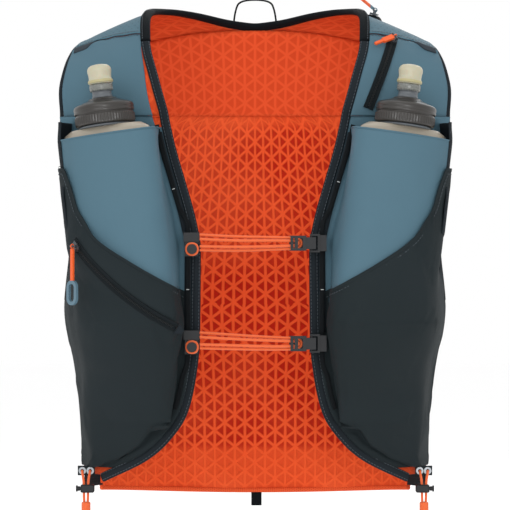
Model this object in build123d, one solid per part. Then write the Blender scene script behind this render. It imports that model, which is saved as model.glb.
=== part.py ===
"""Running vest with two soft flasks: every sub-part as its own STEP file.

Millimetres, +Z up. The wearer faces -Y, and +X is the wearer's left. The origin is the
inside top of the hang loop behind the neck. Below z = -110 the vest follows an upright
torso (superellipse rows); above it the straps run over a shoulder axis parallel to X.
"""

from build123d import *
from math import asin, atan2, cos, degrees, hypot, pi, radians, sin
import os

os.makedirs("parts", exist_ok=True)

# ---------------------------------------------------------------- driving dimensions
CHEST_Y = -80.0  # middle of the torso, front to back
SHOULDER_Y = -75.0  # axis that the straps turn over
SHOULDER_Z = -110.0
ROUNDNESS = 2.6  # superellipse exponent of the torso
FABRIC = 2.0  # lining thickness
GAP = 0.4  # room left between neighbouring pieces
SEAM_ROOM = 1.3
BINDING_WIDTH = 8.0
BINDING_THICK = 4.5
ARM_BINDING = 5.0
EDGE_INSET = 3.9  # degrees of torso angle that the armhole binding takes
UNDERARM_Z = -274.0
HEM_LINE = -440.0  # lower edge of the back panel

# (height, value) tables, falling height
HALF_WIDTH = [(-110, 187), (-154, 176), (-195, 168), (-237, 163), (-271, 163), (-331, 154), (-372, 149),
              (-445, 148)]
FRONT_DEPTH = [(-110, 76), (-154, 84), (-195, 87), (-271, 90), (-350, 88), (-445, 84)]
BACK_DEPTH = [(-110, 90), (-200, 94), (-300, 92), (-445, 90)]
OPENING = [(-110, 73), (-140, 66), (-165, 58.7), (-203, 48.5), (-222, 45.4), (-301, 46), (-335, 49.7),
           (-365, 57), (-390, 74), (-404, 90), (-424, 128)]
FRONT_EDGE = [(-110, 60.4), (-154, 65), (-195, 68.5), (-237, 76), (-262, 83), (-275, 88), (-445, 88)]
BACK_EDGE = [(-110, 37.7), (-154, 44), (-195, 52), (-237, 61), (-262, 64), (-445, 64)]

# (angle over the shoulder, value) tables: 90 faces forward, 0 up, -90 backward
NECK_X = [(90, 73), (67.5, 82.3), (45, 90), (22.5, 91), (5, 88), (-10, 80), (-22, 64), (-32, 42), (-38, 22),
          (-41, 0)]
NECK_R = [(90, 80), (67.5, 84), (45, 88), (22.5, 90), (5, 91), (-10, 95), (-22, 102), (-32, 109), (-41, 115)]
CLOTH_X = [(90, 82.5), (67.5, 92), (45, 99.5), (22.5, 100), (5, 97.5), (-10, 91), (-22, 77), (-32, 59),
           (-38, 43), (-42, 28), (-46, 2)]
ARM_X = [(90, 168), (67.5, 169.5), (45, 166), (22.5, 160), (0, 153), (-22.5, 147), (-45, 139), (-67.5, 132),
         (-90, 128)]
ARM_R = [(90, 47), (67.5, 52), (45, 57), (22.5, 61), (0, 64), (-22.5, 70), (-45, 77), (-67.5, 75), (-90, 70)]
SWEEP = [(90, 1.8), (45, 1.4), (0, 1.1), (-20, 1.5), (-41, 2.2), (-90, 2.2)]
BACK_MIDDLE_R = [(-41, 115), (-50, 107), (-66, 95), (-90, 85)]

# soft flask, in its own frame: cap base at 0, +Z up the flask, -Y away from the chest
FLASK_SIDE_X = 126.5
FLASK_Y = -178.8
FLASK_Z = -119.0
FLASK_TILT = 7.0
FLASK_PITCH = 3.0
FLASK_YAW = 22.0
FLASK_HALF_WIDTH = 43.5
FLASK_HALF_DEPTH = 22.5
FLASK_LENGTH = 158.0
FLASK_TRAVEL = 190.0  # how far a flask lifts before it is out of its sleeve
SLEEVE_ROOM = 1.3
SLEEVE_WALL = 1.2
SLEEVE_TOP = -7.0

# chest straps
RAIL_X = 57.0
RAIL_WIDTH = 4.0
RAIL_Y = -175.3
RAIL_THICK = 1.4
RAIL_TOP = -205.0
RAIL_FOOT = -318.0
CORD = 2.4
BIGHT_R = 4.6
UPPER_Z = -223.0
LOWER_Z = -306.0
BUCKLE_RISE = {"upper": 4.0, "lower": 2.0}  # buckle and receiver above the keeper's middle
PEG_X = 53.4
SWING_X = -47.05  # upright axis that the unhooked strap swings about

# hem adjusters
HEM_X = 145.5
HEM_Y = -129.0
HEM_Z = -415.0
HEM_CORD = 2.2


# ---------------------------------------------------------------- helpers
def along(table, place):
    """Smooth value at a place, from (place, value) pairs in falling order of place."""
    if place >= table[0][0]:
        return table[0][1]
    if place <= table[-1][0]:
        return table[-1][1]
    steps = [(b[1] - a[1]) / (b[0] - a[0]) for a, b in zip(table, table[1:])]

    def slope(k):
        if k == 0 or k == len(table) - 1:
            return steps[min(k, len(steps) - 1)]
        before, after = steps[k - 1], steps[k]
        return 0 if before * after <= 0 else 2 * before * after / (before + after)

    k = next(i for i in range(len(steps)) if table[i + 1][0] <= place)
    (p0, v0), (p1, v1) = table[k], table[k + 1]
    span = p1 - p0
    t = (place - p0) / span
    return (v0 * (1 + 2 * t) * (1 - t) ** 2 + slope(k) * span * t * (1 - t) ** 2
            + v1 * t * t * (3 - 2 * t) - slope(k + 1) * span * t * t * (1 - t))


def torso(side, angle, z, lift, back=False):
    """Point on the torso row at height z: angle 0 is the middle, 90 the side."""
    wide = along(HALF_WIDTH, z) + lift
    deep = along(BACK_DEPTH if back else FRONT_DEPTH, z) + lift
    power = 2 / ROUNDNESS
    x = side * wide * sin(radians(angle)) ** power
    y = deep * cos(radians(angle)) ** power
    return Vector(x, CHEST_Y + (y if back else -y), z)


def torso_normal(side, angle, z, back=False):
    """Direction straight out of the torso row."""
    power = 2 - 2 / ROUNDNESS
    x = side * sin(radians(angle)) ** power / along(HALF_WIDTH, z)
    y = cos(radians(angle)) ** power / along(BACK_DEPTH if back else FRONT_DEPTH, z)
    return Vector(x, y if back else -y, 0).normalized()


def angle_at(x, z, lift=0.0):
    """Row angle whose point lies x from the middle."""
    share = min(1.0, x / (along(HALF_WIDTH, z) + lift))
    return degrees(asin(share ** (ROUNDNESS / 2)))


def shoulder(side, turn, x, lift):
    """Point over the shoulder at an angle of turn and x from the middle."""
    inner, outer = along(NECK_X, turn), along(ARM_X, turn)
    share = max(0.0, (x - inner) / (outer - inner))
    drop = (along(NECK_R, turn) - along(ARM_R, turn)) * share ** along(SWEEP, turn)
    reach = along(NECK_R, turn) - drop + lift
    t = radians(turn)
    return Vector(side * x, SHOULDER_Y - reach * sin(t), SHOULDER_Z + reach * cos(t))


def upper_back(turn, x, lift):
    """Point on the back below the neck, at an angle of turn and x either side."""
    share = abs(x) / along(ARM_X, turn)
    middle, edge = along(BACK_MIDDLE_R, turn), along(ARM_R, turn)
    reach = middle - (middle - edge) * share ** 2.2 + lift
    t = radians(turn)
    return Vector(x, SHOULDER_Y - reach * sin(t), SHOULDER_Z + reach * cos(t))


def ring(inner, outer):
    """Closed section between an inner and an outer row of points."""
    edges = [
        Edge.make_spline(inner),
        Edge.make_line(inner[-1], outer[-1]),
        Edge.make_spline(outer[::-1]),
        Edge.make_line(outer[0], inner[0]),
    ]
    return Wire(edges)


def sheet(stations, point, thick_from, thick_to, across=9, ruled=False):
    """Solid sheet: one section at each station, point(station, share, lift) across it."""
    sections = []
    for station in stations:
        shares = [k / (across - 1) for k in range(across)]
        low = [point(station, s, thick_from(station, s)) for s in shares]
        high = [point(station, s, thick_to(station, s)) for s in shares]
        sections.append(ring(low, high))
    return Solid.make_loft(sections, ruled=ruled)


def flat(value):
    """Thickness function that is the same everywhere."""
    return lambda station, share: value


def edge_strip(path, inward, normal, width, thick, sink=0.5):
    """Flat binding along a path of points: width goes inward, thickness along the normal."""
    sections = []
    for p, i, n in zip(path, inward, normal):
        corners = [p - n * sink, p + i * width - n * sink, p + i * width + n * thick, p + n * thick]
        sections.append(Wire.make_polygon(corners, close=True))
    return Solid.make_loft(sections)


def save(name, *solids):
    """Write one sub-part."""
    shape = solids[0] if len(solids) == 1 else Compound(children=list(solids))
    export_step(shape, f"parts/{name}.step")


def tube(points, radii, radius):
    """Round cord along straight runs joined by arcs."""
    path = FilletPolyline(*points, radius=radii) if radii else Polyline(*points)
    start = Plane(origin=path @ 0, z_dir=path % 0)
    return sweep(start * Circle(radius), path=path)


def box(x0, x1, y0, y1, z0, z1):
    """Box between two corners."""
    lows = [min(a, b) for a, b in ((x0, x1), (y0, y1), (z0, z1))]
    sizes = [abs(a - b) for a, b in ((x0, x1), (y0, y1), (z0, z1))]
    return Pos(*lows) * Box(*sizes, align=(Align.MIN,) * 3)


def rod(start, end, radius):
    """Cylinder from one point to another."""
    a, b = Vector(*start), Vector(*end)
    shape = Cylinder(radius, (b - a).length, align=(Align.CENTER, Align.CENTER, Align.MIN))
    return Plane(origin=a, z_dir=b - a) * shape


def opening_slope(z):
    """How fast the front opening widens with height, for strips of even true width."""
    step = 1.0
    change = (along(OPENING, z - step) - along(OPENING, z + step)) / (2 * step)
    return hypot(1, change)


def cloth_angle(z):
    """Row angle where the front cloth starts, beside the binding."""
    edge = along(OPENING, z) + (BINDING_WIDTH + SEAM_ROOM) * opening_slope(z)
    return angle_at(edge, z)


# ---------------------------------------------------------------- back of the vest
def back_panel():
    """Spacer-mesh back: from under the neck binding down to the hem."""
    stations = [("turn", t) for t in (-47, -51, -55, -60, -65, -70, -75, -80)]
    stations += [("level", z) for z in range(-114, -274, -10)]
    stations += [("level", z) for z in (-282, -300, -320, -340, -360, -380, -400, -422, HEM_LINE)]

    def point(station, share, lift):
        kind, place = station
        across = 2 * share - 1
        if kind == "turn":
            return upper_back(place, across * (along(ARM_X, place) - ARM_BINDING - GAP), lift)
        angle = along(BACK_EDGE, place) - (EDGE_INSET if place > UNDERARM_Z else 0.8)
        return torso(1 if across > 0 else -1, abs(across) * angle, place, lift, back=True)

    return sheet(stations, point, flat(0), flat(3.0), across=13, ruled=True)


BAG_BASE = 3.9  # bag's rim off the back's inner face
BAG_WIDTH = [(-62, 66), (-100, 88), (-150, 108), (-230, 116), (-330, 116), (-400, 110), (-432, 102)]
BAG_FULL = [(-62, 14), (-80, 23), (-120, 36), (-200, 46), (-300, 48), (-380, 34), (-415, 16), (-432, 5)]


def bag_back(x, z, lift):
    """Back panel point behind which the bag bulges."""
    if z > SHOULDER_Z:
        turn = -60.0
        for _ in range(12):
            p = upper_back(turn, x, lift)
            turn -= (p.Z - z) * 0.6
        return Vector(x, upper_back(turn, x, lift).Y, z)
    p = torso(1 if x >= 0 else -1, angle_at(abs(x), z, lift), z, lift, back=True)
    return Vector(x, p.Y, z)


def bag_section(z, width, full, base, wall):
    """Hollow slice of a bag standing off the back: outer skin and inner skin."""
    shares = [k / 12 * 2 - 1 for k in range(13)]
    outer = []
    inner = []
    for s in shares:
        bulge = full * (1 - abs(s) ** 3.2)
        x = s * width
        y = bag_back(x, z, base).Y
        outer.append(Vector(x, y + wall + bulge, z))
        x = s * (width - wall * 0.4)
        inner.append(Vector(x, bag_back(x, z, base).Y + max(0.0, bulge - 0.2), z))
    return ring(inner, outer)


def back_bag():
    """Main bag: one hollow shell, open towards the back panel."""
    levels = (-62, -75, -95, -125, -165, -215, -270, -320, -360, -390, -415, -432)
    sections = [bag_section(z, along(BAG_WIDTH, z), along(BAG_FULL, z), BAG_BASE, 1.6) for z in levels]
    return Solid.make_loft(sections)


def stash_section(z, width, full):
    """Slice of the low stretch pocket that lies on the bag."""
    shares = [k / 10 * 2 - 1 for k in range(11)]
    outer = []
    inner = []
    for s in shares:
        x = s * width
        bag = along(BAG_FULL, z) * (1 - (abs(x) / along(BAG_WIDTH, z)) ** 3.2)
        base = bag_back(x, z, BAG_BASE).Y + bag + 1.6 + 0.5
        swell = full * (1 - s * s)
        inner.append(Vector(x, base + swell, z))
        outer.append(Vector(x, base + swell + 1.4, z))
    return ring(inner, outer)


def back_stash_pocket():
    """Stretch pocket across the lower back, open at its top."""
    rows = [(-245, 96, 7), (-275, 100, 9), (-320, 100, 8), (-360, 97, 5), (-395, 92, 2), (-420, 86, 0.3)]
    return Solid.make_loft([stash_section(*row) for row in rows])


# ---------------------------------------------------------------- straps and fronts
def shoulder_strap(side):
    """Strap over the shoulder, from the chest to the upper back."""
    turns = (88, 75, 60, 45, 28, 12, -4, -16, -27, -35, -40, -44)

    def point(turn, share, lift):
        inner = along(CLOTH_X, turn)
        outer = along(ARM_X, turn) - ARM_BINDING - GAP
        return shoulder(side, turn, inner + share * (outer - inner), lift)

    return sheet(turns, point, flat(0), flat(4.0))


def front_lining(side):
    """Lining of one front, from the chest down to the hem."""
    levels = (-112, -140, -165, -195, -222, -237, -252, -262, -270, -278, -301, -335, -365, -385, -400,
              -410, -418)

    def point(z, share, lift):
        inner = cloth_angle(z)
        outer = along(FRONT_EDGE, z) - EDGE_INSET
        return torso(side, inner + share * (outer - inner), z, lift)

    return sheet(levels, point, flat(0), flat(FABRIC))


SIDE_FIRST = 84.7  # angle where the side panel starts, beside the front


def side_panel(side):
    """Stretch panel under the arm, from the front to the back."""
    levels = (-279, -310, -350, -390, -432)
    shares = [k / 10 for k in range(11)]
    sections = []
    for z in levels:
        rear = along(BACK_EDGE, z) + 0.4
        rows = []
        for lift in (0.0, FABRIC):
            row = []
            for s in shares:
                angle = SIDE_FIRST + s * (180 - rear - SIDE_FIRST)
                back = angle > 90
                row.append(torso(side, 180 - angle if back else angle, z, lift, back=back))
            rows.append(row)
        sections.append(ring(*rows))
    return Solid.make_loft(sections)


def flask_frame(side):
    """Plane at the base of a flask's cap, its normal pointing up the flask."""
    up = Vector(side * sin(radians(FLASK_TILT)), sin(radians(FLASK_PITCH)), cos(radians(FLASK_TILT)))
    across = Vector(cos(radians(FLASK_YAW)), side * sin(radians(FLASK_YAW)), 0)
    up = up.normalized()
    across = (across - up * across.dot(up)).normalized()
    return Plane(origin=(side * FLASK_SIDE_X, FLASK_Y, FLASK_Z), x_dir=across, z_dir=up)


def oval(half_width, half_depth, z):
    """Oval slice of a flask or its sleeve."""
    return Plane(origin=(0, 0, z)) * Ellipse(half_width, half_depth)


def flask_sleeve(side):
    """Snug pocket that holds a flask, open at the top."""
    wide = FLASK_HALF_WIDTH + SLEEVE_ROOM
    deep = FLASK_HALF_DEPTH + SLEEVE_ROOM
    floor = -FLASK_LENGTH - 4
    skin = extrude(oval(wide + SLEEVE_WALL, deep + SLEEVE_WALL, floor - 2), SLEEVE_TOP - floor + 2)
    room = extrude(oval(wide, deep, floor), SLEEVE_TOP - floor + 5)
    return flask_frame(side) * (skin - room)


POCKET_TOP = -198.0
POCKET_FULL = [(-286, 1.0), (-310, 0.8), (-340, 0.5), (-380, 0.24), (-412, 0.05)]
RAIL_STRIP = 8.8  # flat cloth beside the binding, under the rail


def flask_slice(side, z):
    """Middle of the sleeve at height z, and its share of the full girth below the flask."""
    frame = flask_frame(side)
    low = max(z, -280.0)
    middle = frame.origin + frame.z_dir * ((low - frame.origin.Z) / frame.z_dir.Z)
    share = along(POCKET_FULL, z)
    rest = torso(side, angle_at(abs(middle.X), z), z, FABRIC).Y
    y = middle.Y * share + rest * (1 - share)
    return Vector(middle.X, y, z), share


def chain(points):
    """One side of the hull of points that are sorted by x."""
    kept = []
    for p in points:
        while len(kept) > 1:
            a, b = kept[-2], kept[-1]
            turn = (b.X - a.X) * (p.Y - a.Y) - (b.Y - a.Y) * (p.X - a.X)
            if turn > 0:
                break
            kept.pop()
        kept.append(p)
    return kept


def hull_front(points, first, last):
    """Forward side (-Y) of the hull of some points, from one of its corners to another."""
    row = sorted(points, key=lambda q: (q.X, q.Y))
    outline = chain(row)[:-1] + chain(row[::-1])[:-1]
    start = min(range(len(outline)), key=lambda k: (outline[k] - first).length)
    outline = outline[start:] + outline[:start]
    end = min(range(len(outline)), key=lambda k: (outline[k] - last).length)
    return outline[:end + 1]


def resample(points, count):
    """The same line with evenly spaced points."""
    lengths = [0.0]
    for a, b in zip(points, points[1:]):
        lengths.append(lengths[-1] + (b - a).length)
    row = []
    for k in range(count):
        want = lengths[-1] * k / (count - 1)
        i = next((j for j in range(len(lengths) - 1) if lengths[j + 1] >= want), len(lengths) - 2)
        t = (want - lengths[i]) / (lengths[i + 1] - lengths[i])
        row.append(points[i] + (points[i + 1] - points[i]) * min(1.0, t))
    return row


def relax(points, passes):
    """Round the corners of a line, its ends held."""
    for _ in range(passes):
        middle = [(a + b * 2 + c) * 0.25 for a, b, c in zip(points, points[1:], points[2:])]
        points = [points[0]] + middle + [points[-1]]
    return points


CLOTH_ROOM = 3.8  # cloth to sleeve, before the corners are rounded
POCKET_OFF = 0.9  # pocket cloth off the lining
POCKET_INSET = 6.6  # degrees between the pocket's side edge and the front's edge


def stretched_row(side, z, margin, count):
    """Cloth pulled tight round the flask sleeve, from the rail strip to the side."""
    start = along(OPENING, z) + (BINDING_WIDTH + SEAM_ROOM) * opening_slope(z) + RAIL_STRIP
    first_angle = angle_at(start, z)
    last_angle = along(FRONT_EDGE, z) - POCKET_INSET
    middle, share = flask_slice(1, z)
    room = SLEEVE_ROOM + SLEEVE_WALL + CLOTH_ROOM
    wide = (FLASK_HALF_WIDTH + room) * (0.75 + 0.25 * share)
    deep = (FLASK_HALF_DEPTH + room) * share
    body = []
    for k in range(21):
        angle = first_angle + k / 20 * (last_angle - first_angle)
        body.append(torso(1, angle, z, FABRIC + POCKET_OFF))
    yaw = radians(FLASK_YAW)
    loop = []
    for k in range(72):
        t = 2 * pi * k / 72
        u, v = wide * cos(t), deep * sin(t)
        loop.append(Vector(middle.X + u * cos(yaw) - v * sin(yaw), middle.Y + u * sin(yaw) + v * cos(yaw), z))
    front = hull_front(body + loop, body[0], body[-1])
    line = resample(relax(resample(front, 81), 16), count)
    row = []
    for k, p in enumerate(line):
        t = (line[min(k + 1, count - 1)] - line[max(k - 1, 0)]).normalized()
        p = p + Vector(t.Y, -t.X, 0) * margin
        row.append(Vector(side * p.X, p.Y, z))
    return row


def lower_pocket(side):
    """Stretch cargo pocket over the lower part of one front."""
    levels = (POCKET_TOP, -211, -225, -240, -255, -269, -282, -300, -320, -345, -370, -392, -410)
    sections = []
    for z in levels:
        sections.append(ring(stretched_row(side, z, 0, 17), stretched_row(side, z, 1.2, 17)))
    body = Solid.make_loft(sections)
    rim = [(30, -258), (56, -262), (106, -236), (134, -222), (150, -204), (210, -190)]
    outline = [(side * x, z) for x, z in rim] + [(side * 210, -100), (side * 30, -100)]
    cutter = extrude(Plane.XZ * make_face(Polyline(*outline, close=True)), amount=320)
    return body - cutter


# ---------------------------------------------------------------- bindings
def frame_along(points, surface_normal):
    """Inward and normal directions at each point of an edge path."""
    inward = []
    normals = []
    for k, p in enumerate(points):
        before = points[max(0, k - 1)]
        after = points[min(len(points) - 1, k + 1)]
        tangent = (after - before).normalized()
        n = surface_normal(k)
        n = (n - tangent * n.dot(tangent)).normalized()
        inward.append(n.cross(tangent).normalized())
        normals.append(n)
    return inward, normals


def shoulder_normal(turn):
    """Direction straight out from the shoulder axis."""
    t = radians(turn)
    return Vector(0, -sin(t), cos(t))


def neck_binding():
    """Binding round the back of the neck and over both shoulders to the chest."""
    turns = (86, 74, 62, 50, 36, 22, 8, -5, -14, -22, -29, -35, -39)
    half = [(shoulder(1, t, along(NECK_X, t), 0), shoulder_normal(t)) for t in turns]
    middle = (upper_back(-41, 0, 0), shoulder_normal(-41))
    other = [(Vector(-p.X, p.Y, p.Z), n) for p, n in half[::-1]]
    whole = half + [middle] + other
    points = [p for p, _ in whole]
    inward, normals = frame_along(points, lambda k: whole[k][1])
    return edge_strip(points, [i * -1 for i in inward], normals, BINDING_WIDTH, BINDING_THICK)


def front_binding(side):
    """Binding down one side of the front opening, sweeping outward at the hem."""
    levels = (-112, -132, -155, -180, -203, -222, -260, -301, -335, -360, -378, -390, -400, -411, -423)
    sections = []
    for z in levels:
        start = along(OPENING, z)
        width = min(BINDING_WIDTH * opening_slope(z), 24)
        ends = [angle_at(start + k / 4 * width, z) for k in range(5)]
        low = [torso(side, a, z, -0.5) for a in ends]
        high = [torso(side, a, z, BINDING_THICK) for a in ends]
        sections.append(ring(low, high))
    return Solid.make_loft(sections)


def armhole_binding(side):
    """Closed binding round one armhole, as two strips that meet at its ends."""
    levels = (-125, -154, -190, -225, -252, -268)
    front = [("turn", t) for t in (0, 20, 40, 60, 78)] + [("front", z) for z in levels]
    rear = [("back", z) for z in levels[::-1]] + [("turn", t) for t in (-78, -60, -40, -20, 0)]

    def edge_point(station):
        kind, place = station
        if kind == "turn":
            point = shoulder(side, place, along(ARM_X, place), 1.0)
            return point, Vector(side * 0.25, 0, 0) + shoulder_normal(place)
        back = kind == "back"
        angle = along(BACK_EDGE if back else FRONT_EDGE, place)
        return torso(side, angle, place, 1.0, back=back), torso_normal(side, angle, place, back=back)

    strips = []
    for run in (front, rear):
        pairs = [edge_point(station) for station in run]
        points = [p for p, _ in pairs]
        inward, normals = frame_along(points, lambda k: pairs[k][1])
        turned = [i * -side for i in inward]
        strips.append(edge_strip(points, turned, normals, ARM_BINDING, 2.4, sink=1.0))
    return strips


UNDERARM_FIRST = 86.0
UNDERARM_REAR = 66.0


def underarm_binding(side):
    """Strip of binding along the top of the side panel."""
    points = []
    outs = []
    for k in range(9):
        angle = UNDERARM_FIRST + k / 8 * (180 - UNDERARM_REAR - UNDERARM_FIRST)
        back = angle > 90
        angle = 180 - angle if back else angle
        points.append(torso(side, angle, UNDERARM_Z + 1.5, 1.0, back=back))
        outs.append(torso_normal(side, angle, UNDERARM_Z, back=back))
    down = [Vector(0, 0, -1)] * len(points)
    return edge_strip(points, down, outs, ARM_BINDING, 2.4, sink=1.0)


def hem_binding():
    """Elastic binding along the back hem."""
    sections = []
    for k in range(13):
        share = k / 6 - 1
        p = torso(1 if share > 0 else -1, abs(share) * 60, HEM_LINE - GAP, 0, back=True)
        q = torso(1 if share > 0 else -1, abs(share) * 60, HEM_LINE - GAP, 3.4, back=True)
        low = Vector(0, 0, -3.4)
        sections.append(Wire.make_polygon([p, q, q + low, p + low], close=True))
    return Solid.make_loft(sections)


# ---------------------------------------------------------------- small vest pieces
def strap_rail(side):
    """Flat webbing rail that a chest strap slides on, straight where the straps run."""
    levels = (-118, -130, -142, -154, -166, -178, -190, RAIL_TOP, RAIL_FOOT, -330, -341, -351, -360)
    sections = []
    for z in levels:
        straight = RAIL_FOOT <= z <= RAIL_TOP
        x = RAIL_X if straight else along(OPENING, z) + BINDING_WIDTH * opening_slope(z) + 4.5
        y = RAIL_Y if straight else torso(1, angle_at(x, z), z, FABRIC + 3.6).Y
        corners = []
        for dx, dy in ((-1, 1), (1, 1), (1, -1), (-1, -1)):
            corners.append(Vector(side * (x + dx * RAIL_WIDTH / 2), y + dy * RAIL_THICK / 2, z))
        sections.append(Wire.make_polygon(corners, close=True))
    return Solid.make_loft(sections, ruled=True)


HANG_LOOP_RADII = [9, 10.5, 10.5, 9]


def hang_loop():
    """Thin cord loop behind the neck; its inside top is the origin."""
    r = 0.85
    foot = -18.7
    half = [(-19, 0.8, foot), (-18, 0.6, -9), (-13.5, 0.2, r)]
    points = half + [(-x, y, z) for x, y, z in half[::-1]]
    return tube(points, HANG_LOOP_RADII, r)


def hem_tab():
    """Short tab of webbing below the middle of the back hem, with its elastic end."""
    y = CHEST_Y + along(BACK_DEPTH, -445)
    tab = box(-3.4, 6.0, y + 0.4, y + 2.6, HEM_LINE - 4.0, -455.6)
    return tab


# ---------------------------------------------------------------- curved zips
def circle_through(a, b, c):
    """Centre, axis and radius of the circle through three points."""
    ab, ac = b - a, c - a
    axis = ab.cross(ac)
    to_centre = (axis.cross(ab) * ac.dot(ac) + ac.cross(axis) * ab.dot(ab)) / (2 * axis.dot(axis))
    return a + to_centre, axis.normalized(), to_centre.length


def cloth_point(side, x, z, off):
    """Point off the stretched pocket cloth at a given x and z."""
    row = stretched_row(side, z, 1.6 + off, 61)
    return min(row, key=lambda p: abs(p.X - side * x))


ZIP_OFF = 1.9
ZIP_LINES = {
    "side": [cloth_point(-1, 152, -219, ZIP_OFF), cloth_point(-1, 98, -271, ZIP_OFF + 1.2),
             cloth_point(-1, 66, -289, ZIP_OFF + 3.0)],
    "shoulder": [shoulder(1, 38, 119, 5.7), shoulder(1, 62, 110, 5.8), shoulder(1, 85, 97, 5.7)],
    "back": [shoulder(1, -4, 104, 5.6), shoulder(1, -22, 109, 5.8), shoulder(1, -39, 111, 5.8)],
}


def zip_arc(name):
    """Centre, axis, radius, first direction and whole angle of a curved zip."""
    a, b, c = ZIP_LINES[name]
    centre, axis, radius = circle_through(a, b, c)
    first = (a - centre).normalized()
    last = (c - centre).normalized()
    whole = degrees(atan2(axis.dot(first.cross(last)), first.dot(last))) % 360
    return centre, axis, radius, first, whole


def zip_band(name, height, half_width):
    """Tape that follows a curved zip, from its line up to a height."""
    centre, axis, radius, first, whole = zip_arc(name)
    second = axis.cross(first)
    across = axis * half_width
    steps = 9
    sections = []
    for k in range(steps):
        t = radians(whole * k / (steps - 1))
        direction = first * cos(t) + second * sin(t)
        near = centre + direction * radius
        far = centre + direction * (radius + height)
        corners = [near - across, near + across, far + across, far - across]
        sections.append(Wire.make_polygon(corners, close=True))
    return Solid.make_loft(sections)


def zip_frame(name, share):
    """Plane on a zip line: x along the line, z off the cloth."""
    centre, axis, radius, first, whole = zip_arc(name)
    t = radians(whole * share)
    out = first * cos(t) + axis.cross(first) * sin(t)
    return Plane(origin=centre + out * radius, x_dir=axis.cross(out), z_dir=out)


SLIDER_SHARE = 0.04
BAR_HEIGHT = 5.6
LINK_R = 1.7
LINK_WIRE = 0.45
PULL_LIE = {"shoulder": (-42.0, 12.0), "back": (90.0, -25.0)}  # turn from the zip's line, dip


def bar_frame(name):
    """Frame of a slider's bar: x along the bar, z off the cloth, origin on the zip line."""
    frame = zip_frame(name, SLIDER_SHARE)
    if name in PULL_LIE:
        turn = PULL_LIE[name][0]
        bar = frame.x_dir.rotate(Axis((0, 0, 0), frame.z_dir), turn - 90)
    else:
        bar = Vector(0, 0, 1).cross(frame.z_dir).normalized()
    return Plane(origin=frame.origin, x_dir=bar, z_dir=frame.z_dir)


def zip_slider(name):
    """Zip slider: a low body with a round bar over it that holds the pull."""
    body = Pos(0, 0, 1.9) * Box(8.4, 6.4, 1.8) + Pos(3.6, 0, 1.9) * Box(3, 4, 1.8)
    posts = Pos(3.0, 0, 4.3) * Box(0.8, 1.6, 3.6) + Pos(-3.0, 0, 4.3) * Box(0.8, 1.6, 3.6)
    bar = Pos(0, 0, BAR_HEIGHT) * Rot(0, 90, 0) * Cylinder(0.6, 6.4)
    return zip_frame(name, SLIDER_SHARE) * body + bar_frame(name) * (posts + bar)


def pull_frame(name):
    """Frame of a pull: origin and x on the slider's bar, -z along the pull."""
    frame = bar_frame(name)
    pivot = frame.origin + frame.z_dir * BAR_HEIGHT
    if name not in PULL_LIE:
        return Plane(origin=pivot, x_dir=frame.x_dir, z_dir=(0, 0, 1))
    dip = PULL_LIE[name][1]
    away = frame.z_dir.cross(frame.x_dir)
    away = away.rotate(Axis((0, 0, 0), frame.x_dir), -dip)
    return Plane(origin=pivot, x_dir=frame.x_dir, z_dir=away * -1)


def link():
    """Small ring round the slider's bar."""
    return Rot(0, 90, 0) * Torus(LINK_R, LINK_WIRE)


def side_pull():
    """Cord tab with a finger ring, hanging from the side pocket's zip."""
    stem = Pos(0, 0, -LINK_R - 13.9) * Box(3.0, 2.0, 27)
    loop = SlotOverall(21, 12, rotation=90) - SlotOverall(15, 6.4, rotation=90)
    finger = Pos(0, 0, -39) * Rot(90, 0, 0) * extrude(loop, 1.3, both=True)
    return pull_frame("side") * (link() + stem + finger)


def shoulder_pull():
    """Short moulded pull with a cord tail, lying down the chest."""
    grip = Pos(0, 0, -LINK_R - 6.0) * Box(4.4, 2.4, 11)
    tail = Pos(0, 0, -LINK_R - 15.5) * Box(2.4, 2.0, 9)
    return pull_frame("shoulder") * (link() + grip + tail)


def back_pull():
    """Short pull with a loop, lying across the top of the shoulder."""
    grip = Pos(0, 0, -LINK_R - 5.9) * Box(4.4, 2.4, 11)
    loop = Pos(0, 0, -LINK_R - 14.9) * (Box(8.4, 2.0, 8.0) - Box(4.8, 3.0, 4.4))
    return pull_frame("back") * (link() + grip + loop)


# ---------------------------------------------------------------- soft flasks
def flask_bag(side):
    """Filled soft flask with its rigid threaded collar."""
    slices = [(-158, 30, 3), (-151, 37.5, 9.5), (-136, 42, 18), (-105, 43.5, 22), (-82, 43.5, 22.3),
              (-60, 43.5, 22.5), (-28, 43.2, 22), (-14, 40.4, 20.6), (-6, 34, 18.6), (-1.2, 26, 16.5)]
    bag = loft([oval(wide, deep, z) for z, wide, deep in slices])
    collar = Pos(0, 0, -2) * Cylinder(20.5, 14.5, align=(Align.CENTER, Align.CENTER, Align.MIN))
    return flask_frame(side) * (bag + collar)


def turned(outline):
    """Solid of revolution from (radius, height) points."""
    return revolve(Plane.XZ * make_face(Polyline(*outline, close=True)), Axis.Z)


def flask_cap(side):
    """Wide screw cap: a skirt with a shallow dome and a bore for the drink."""
    outline = [(21.0, 0.4), (25.0, 0.4), (25.7, 1.4), (25.7, 16.4), (24.6, 17.6), (13.0, 21.6), (11.5, 23.0),
               (3.2, 23.0), (3.2, 15.2), (21.0, 15.2)]
    return flask_frame(side) * turned(outline)


def flask_seal(side):
    """Silicone ring under the cap's roof."""
    return flask_frame(side) * turned([(15.5, 12.9), (20.7, 12.9), (20.7, 15.1), (15.5, 15.1)])


def flask_stem(side):
    """Drinking stem that the bite valve turns on."""
    outline = [(3.2, 23.1), (8.6, 23.1), (8.6, 33.6), (7.6, 34.6), (5.2, 34.6), (5.2, 44.6), (2.6, 44.6),
               (2.6, 23.1)]
    return flask_frame(side) * turned(outline)


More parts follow.
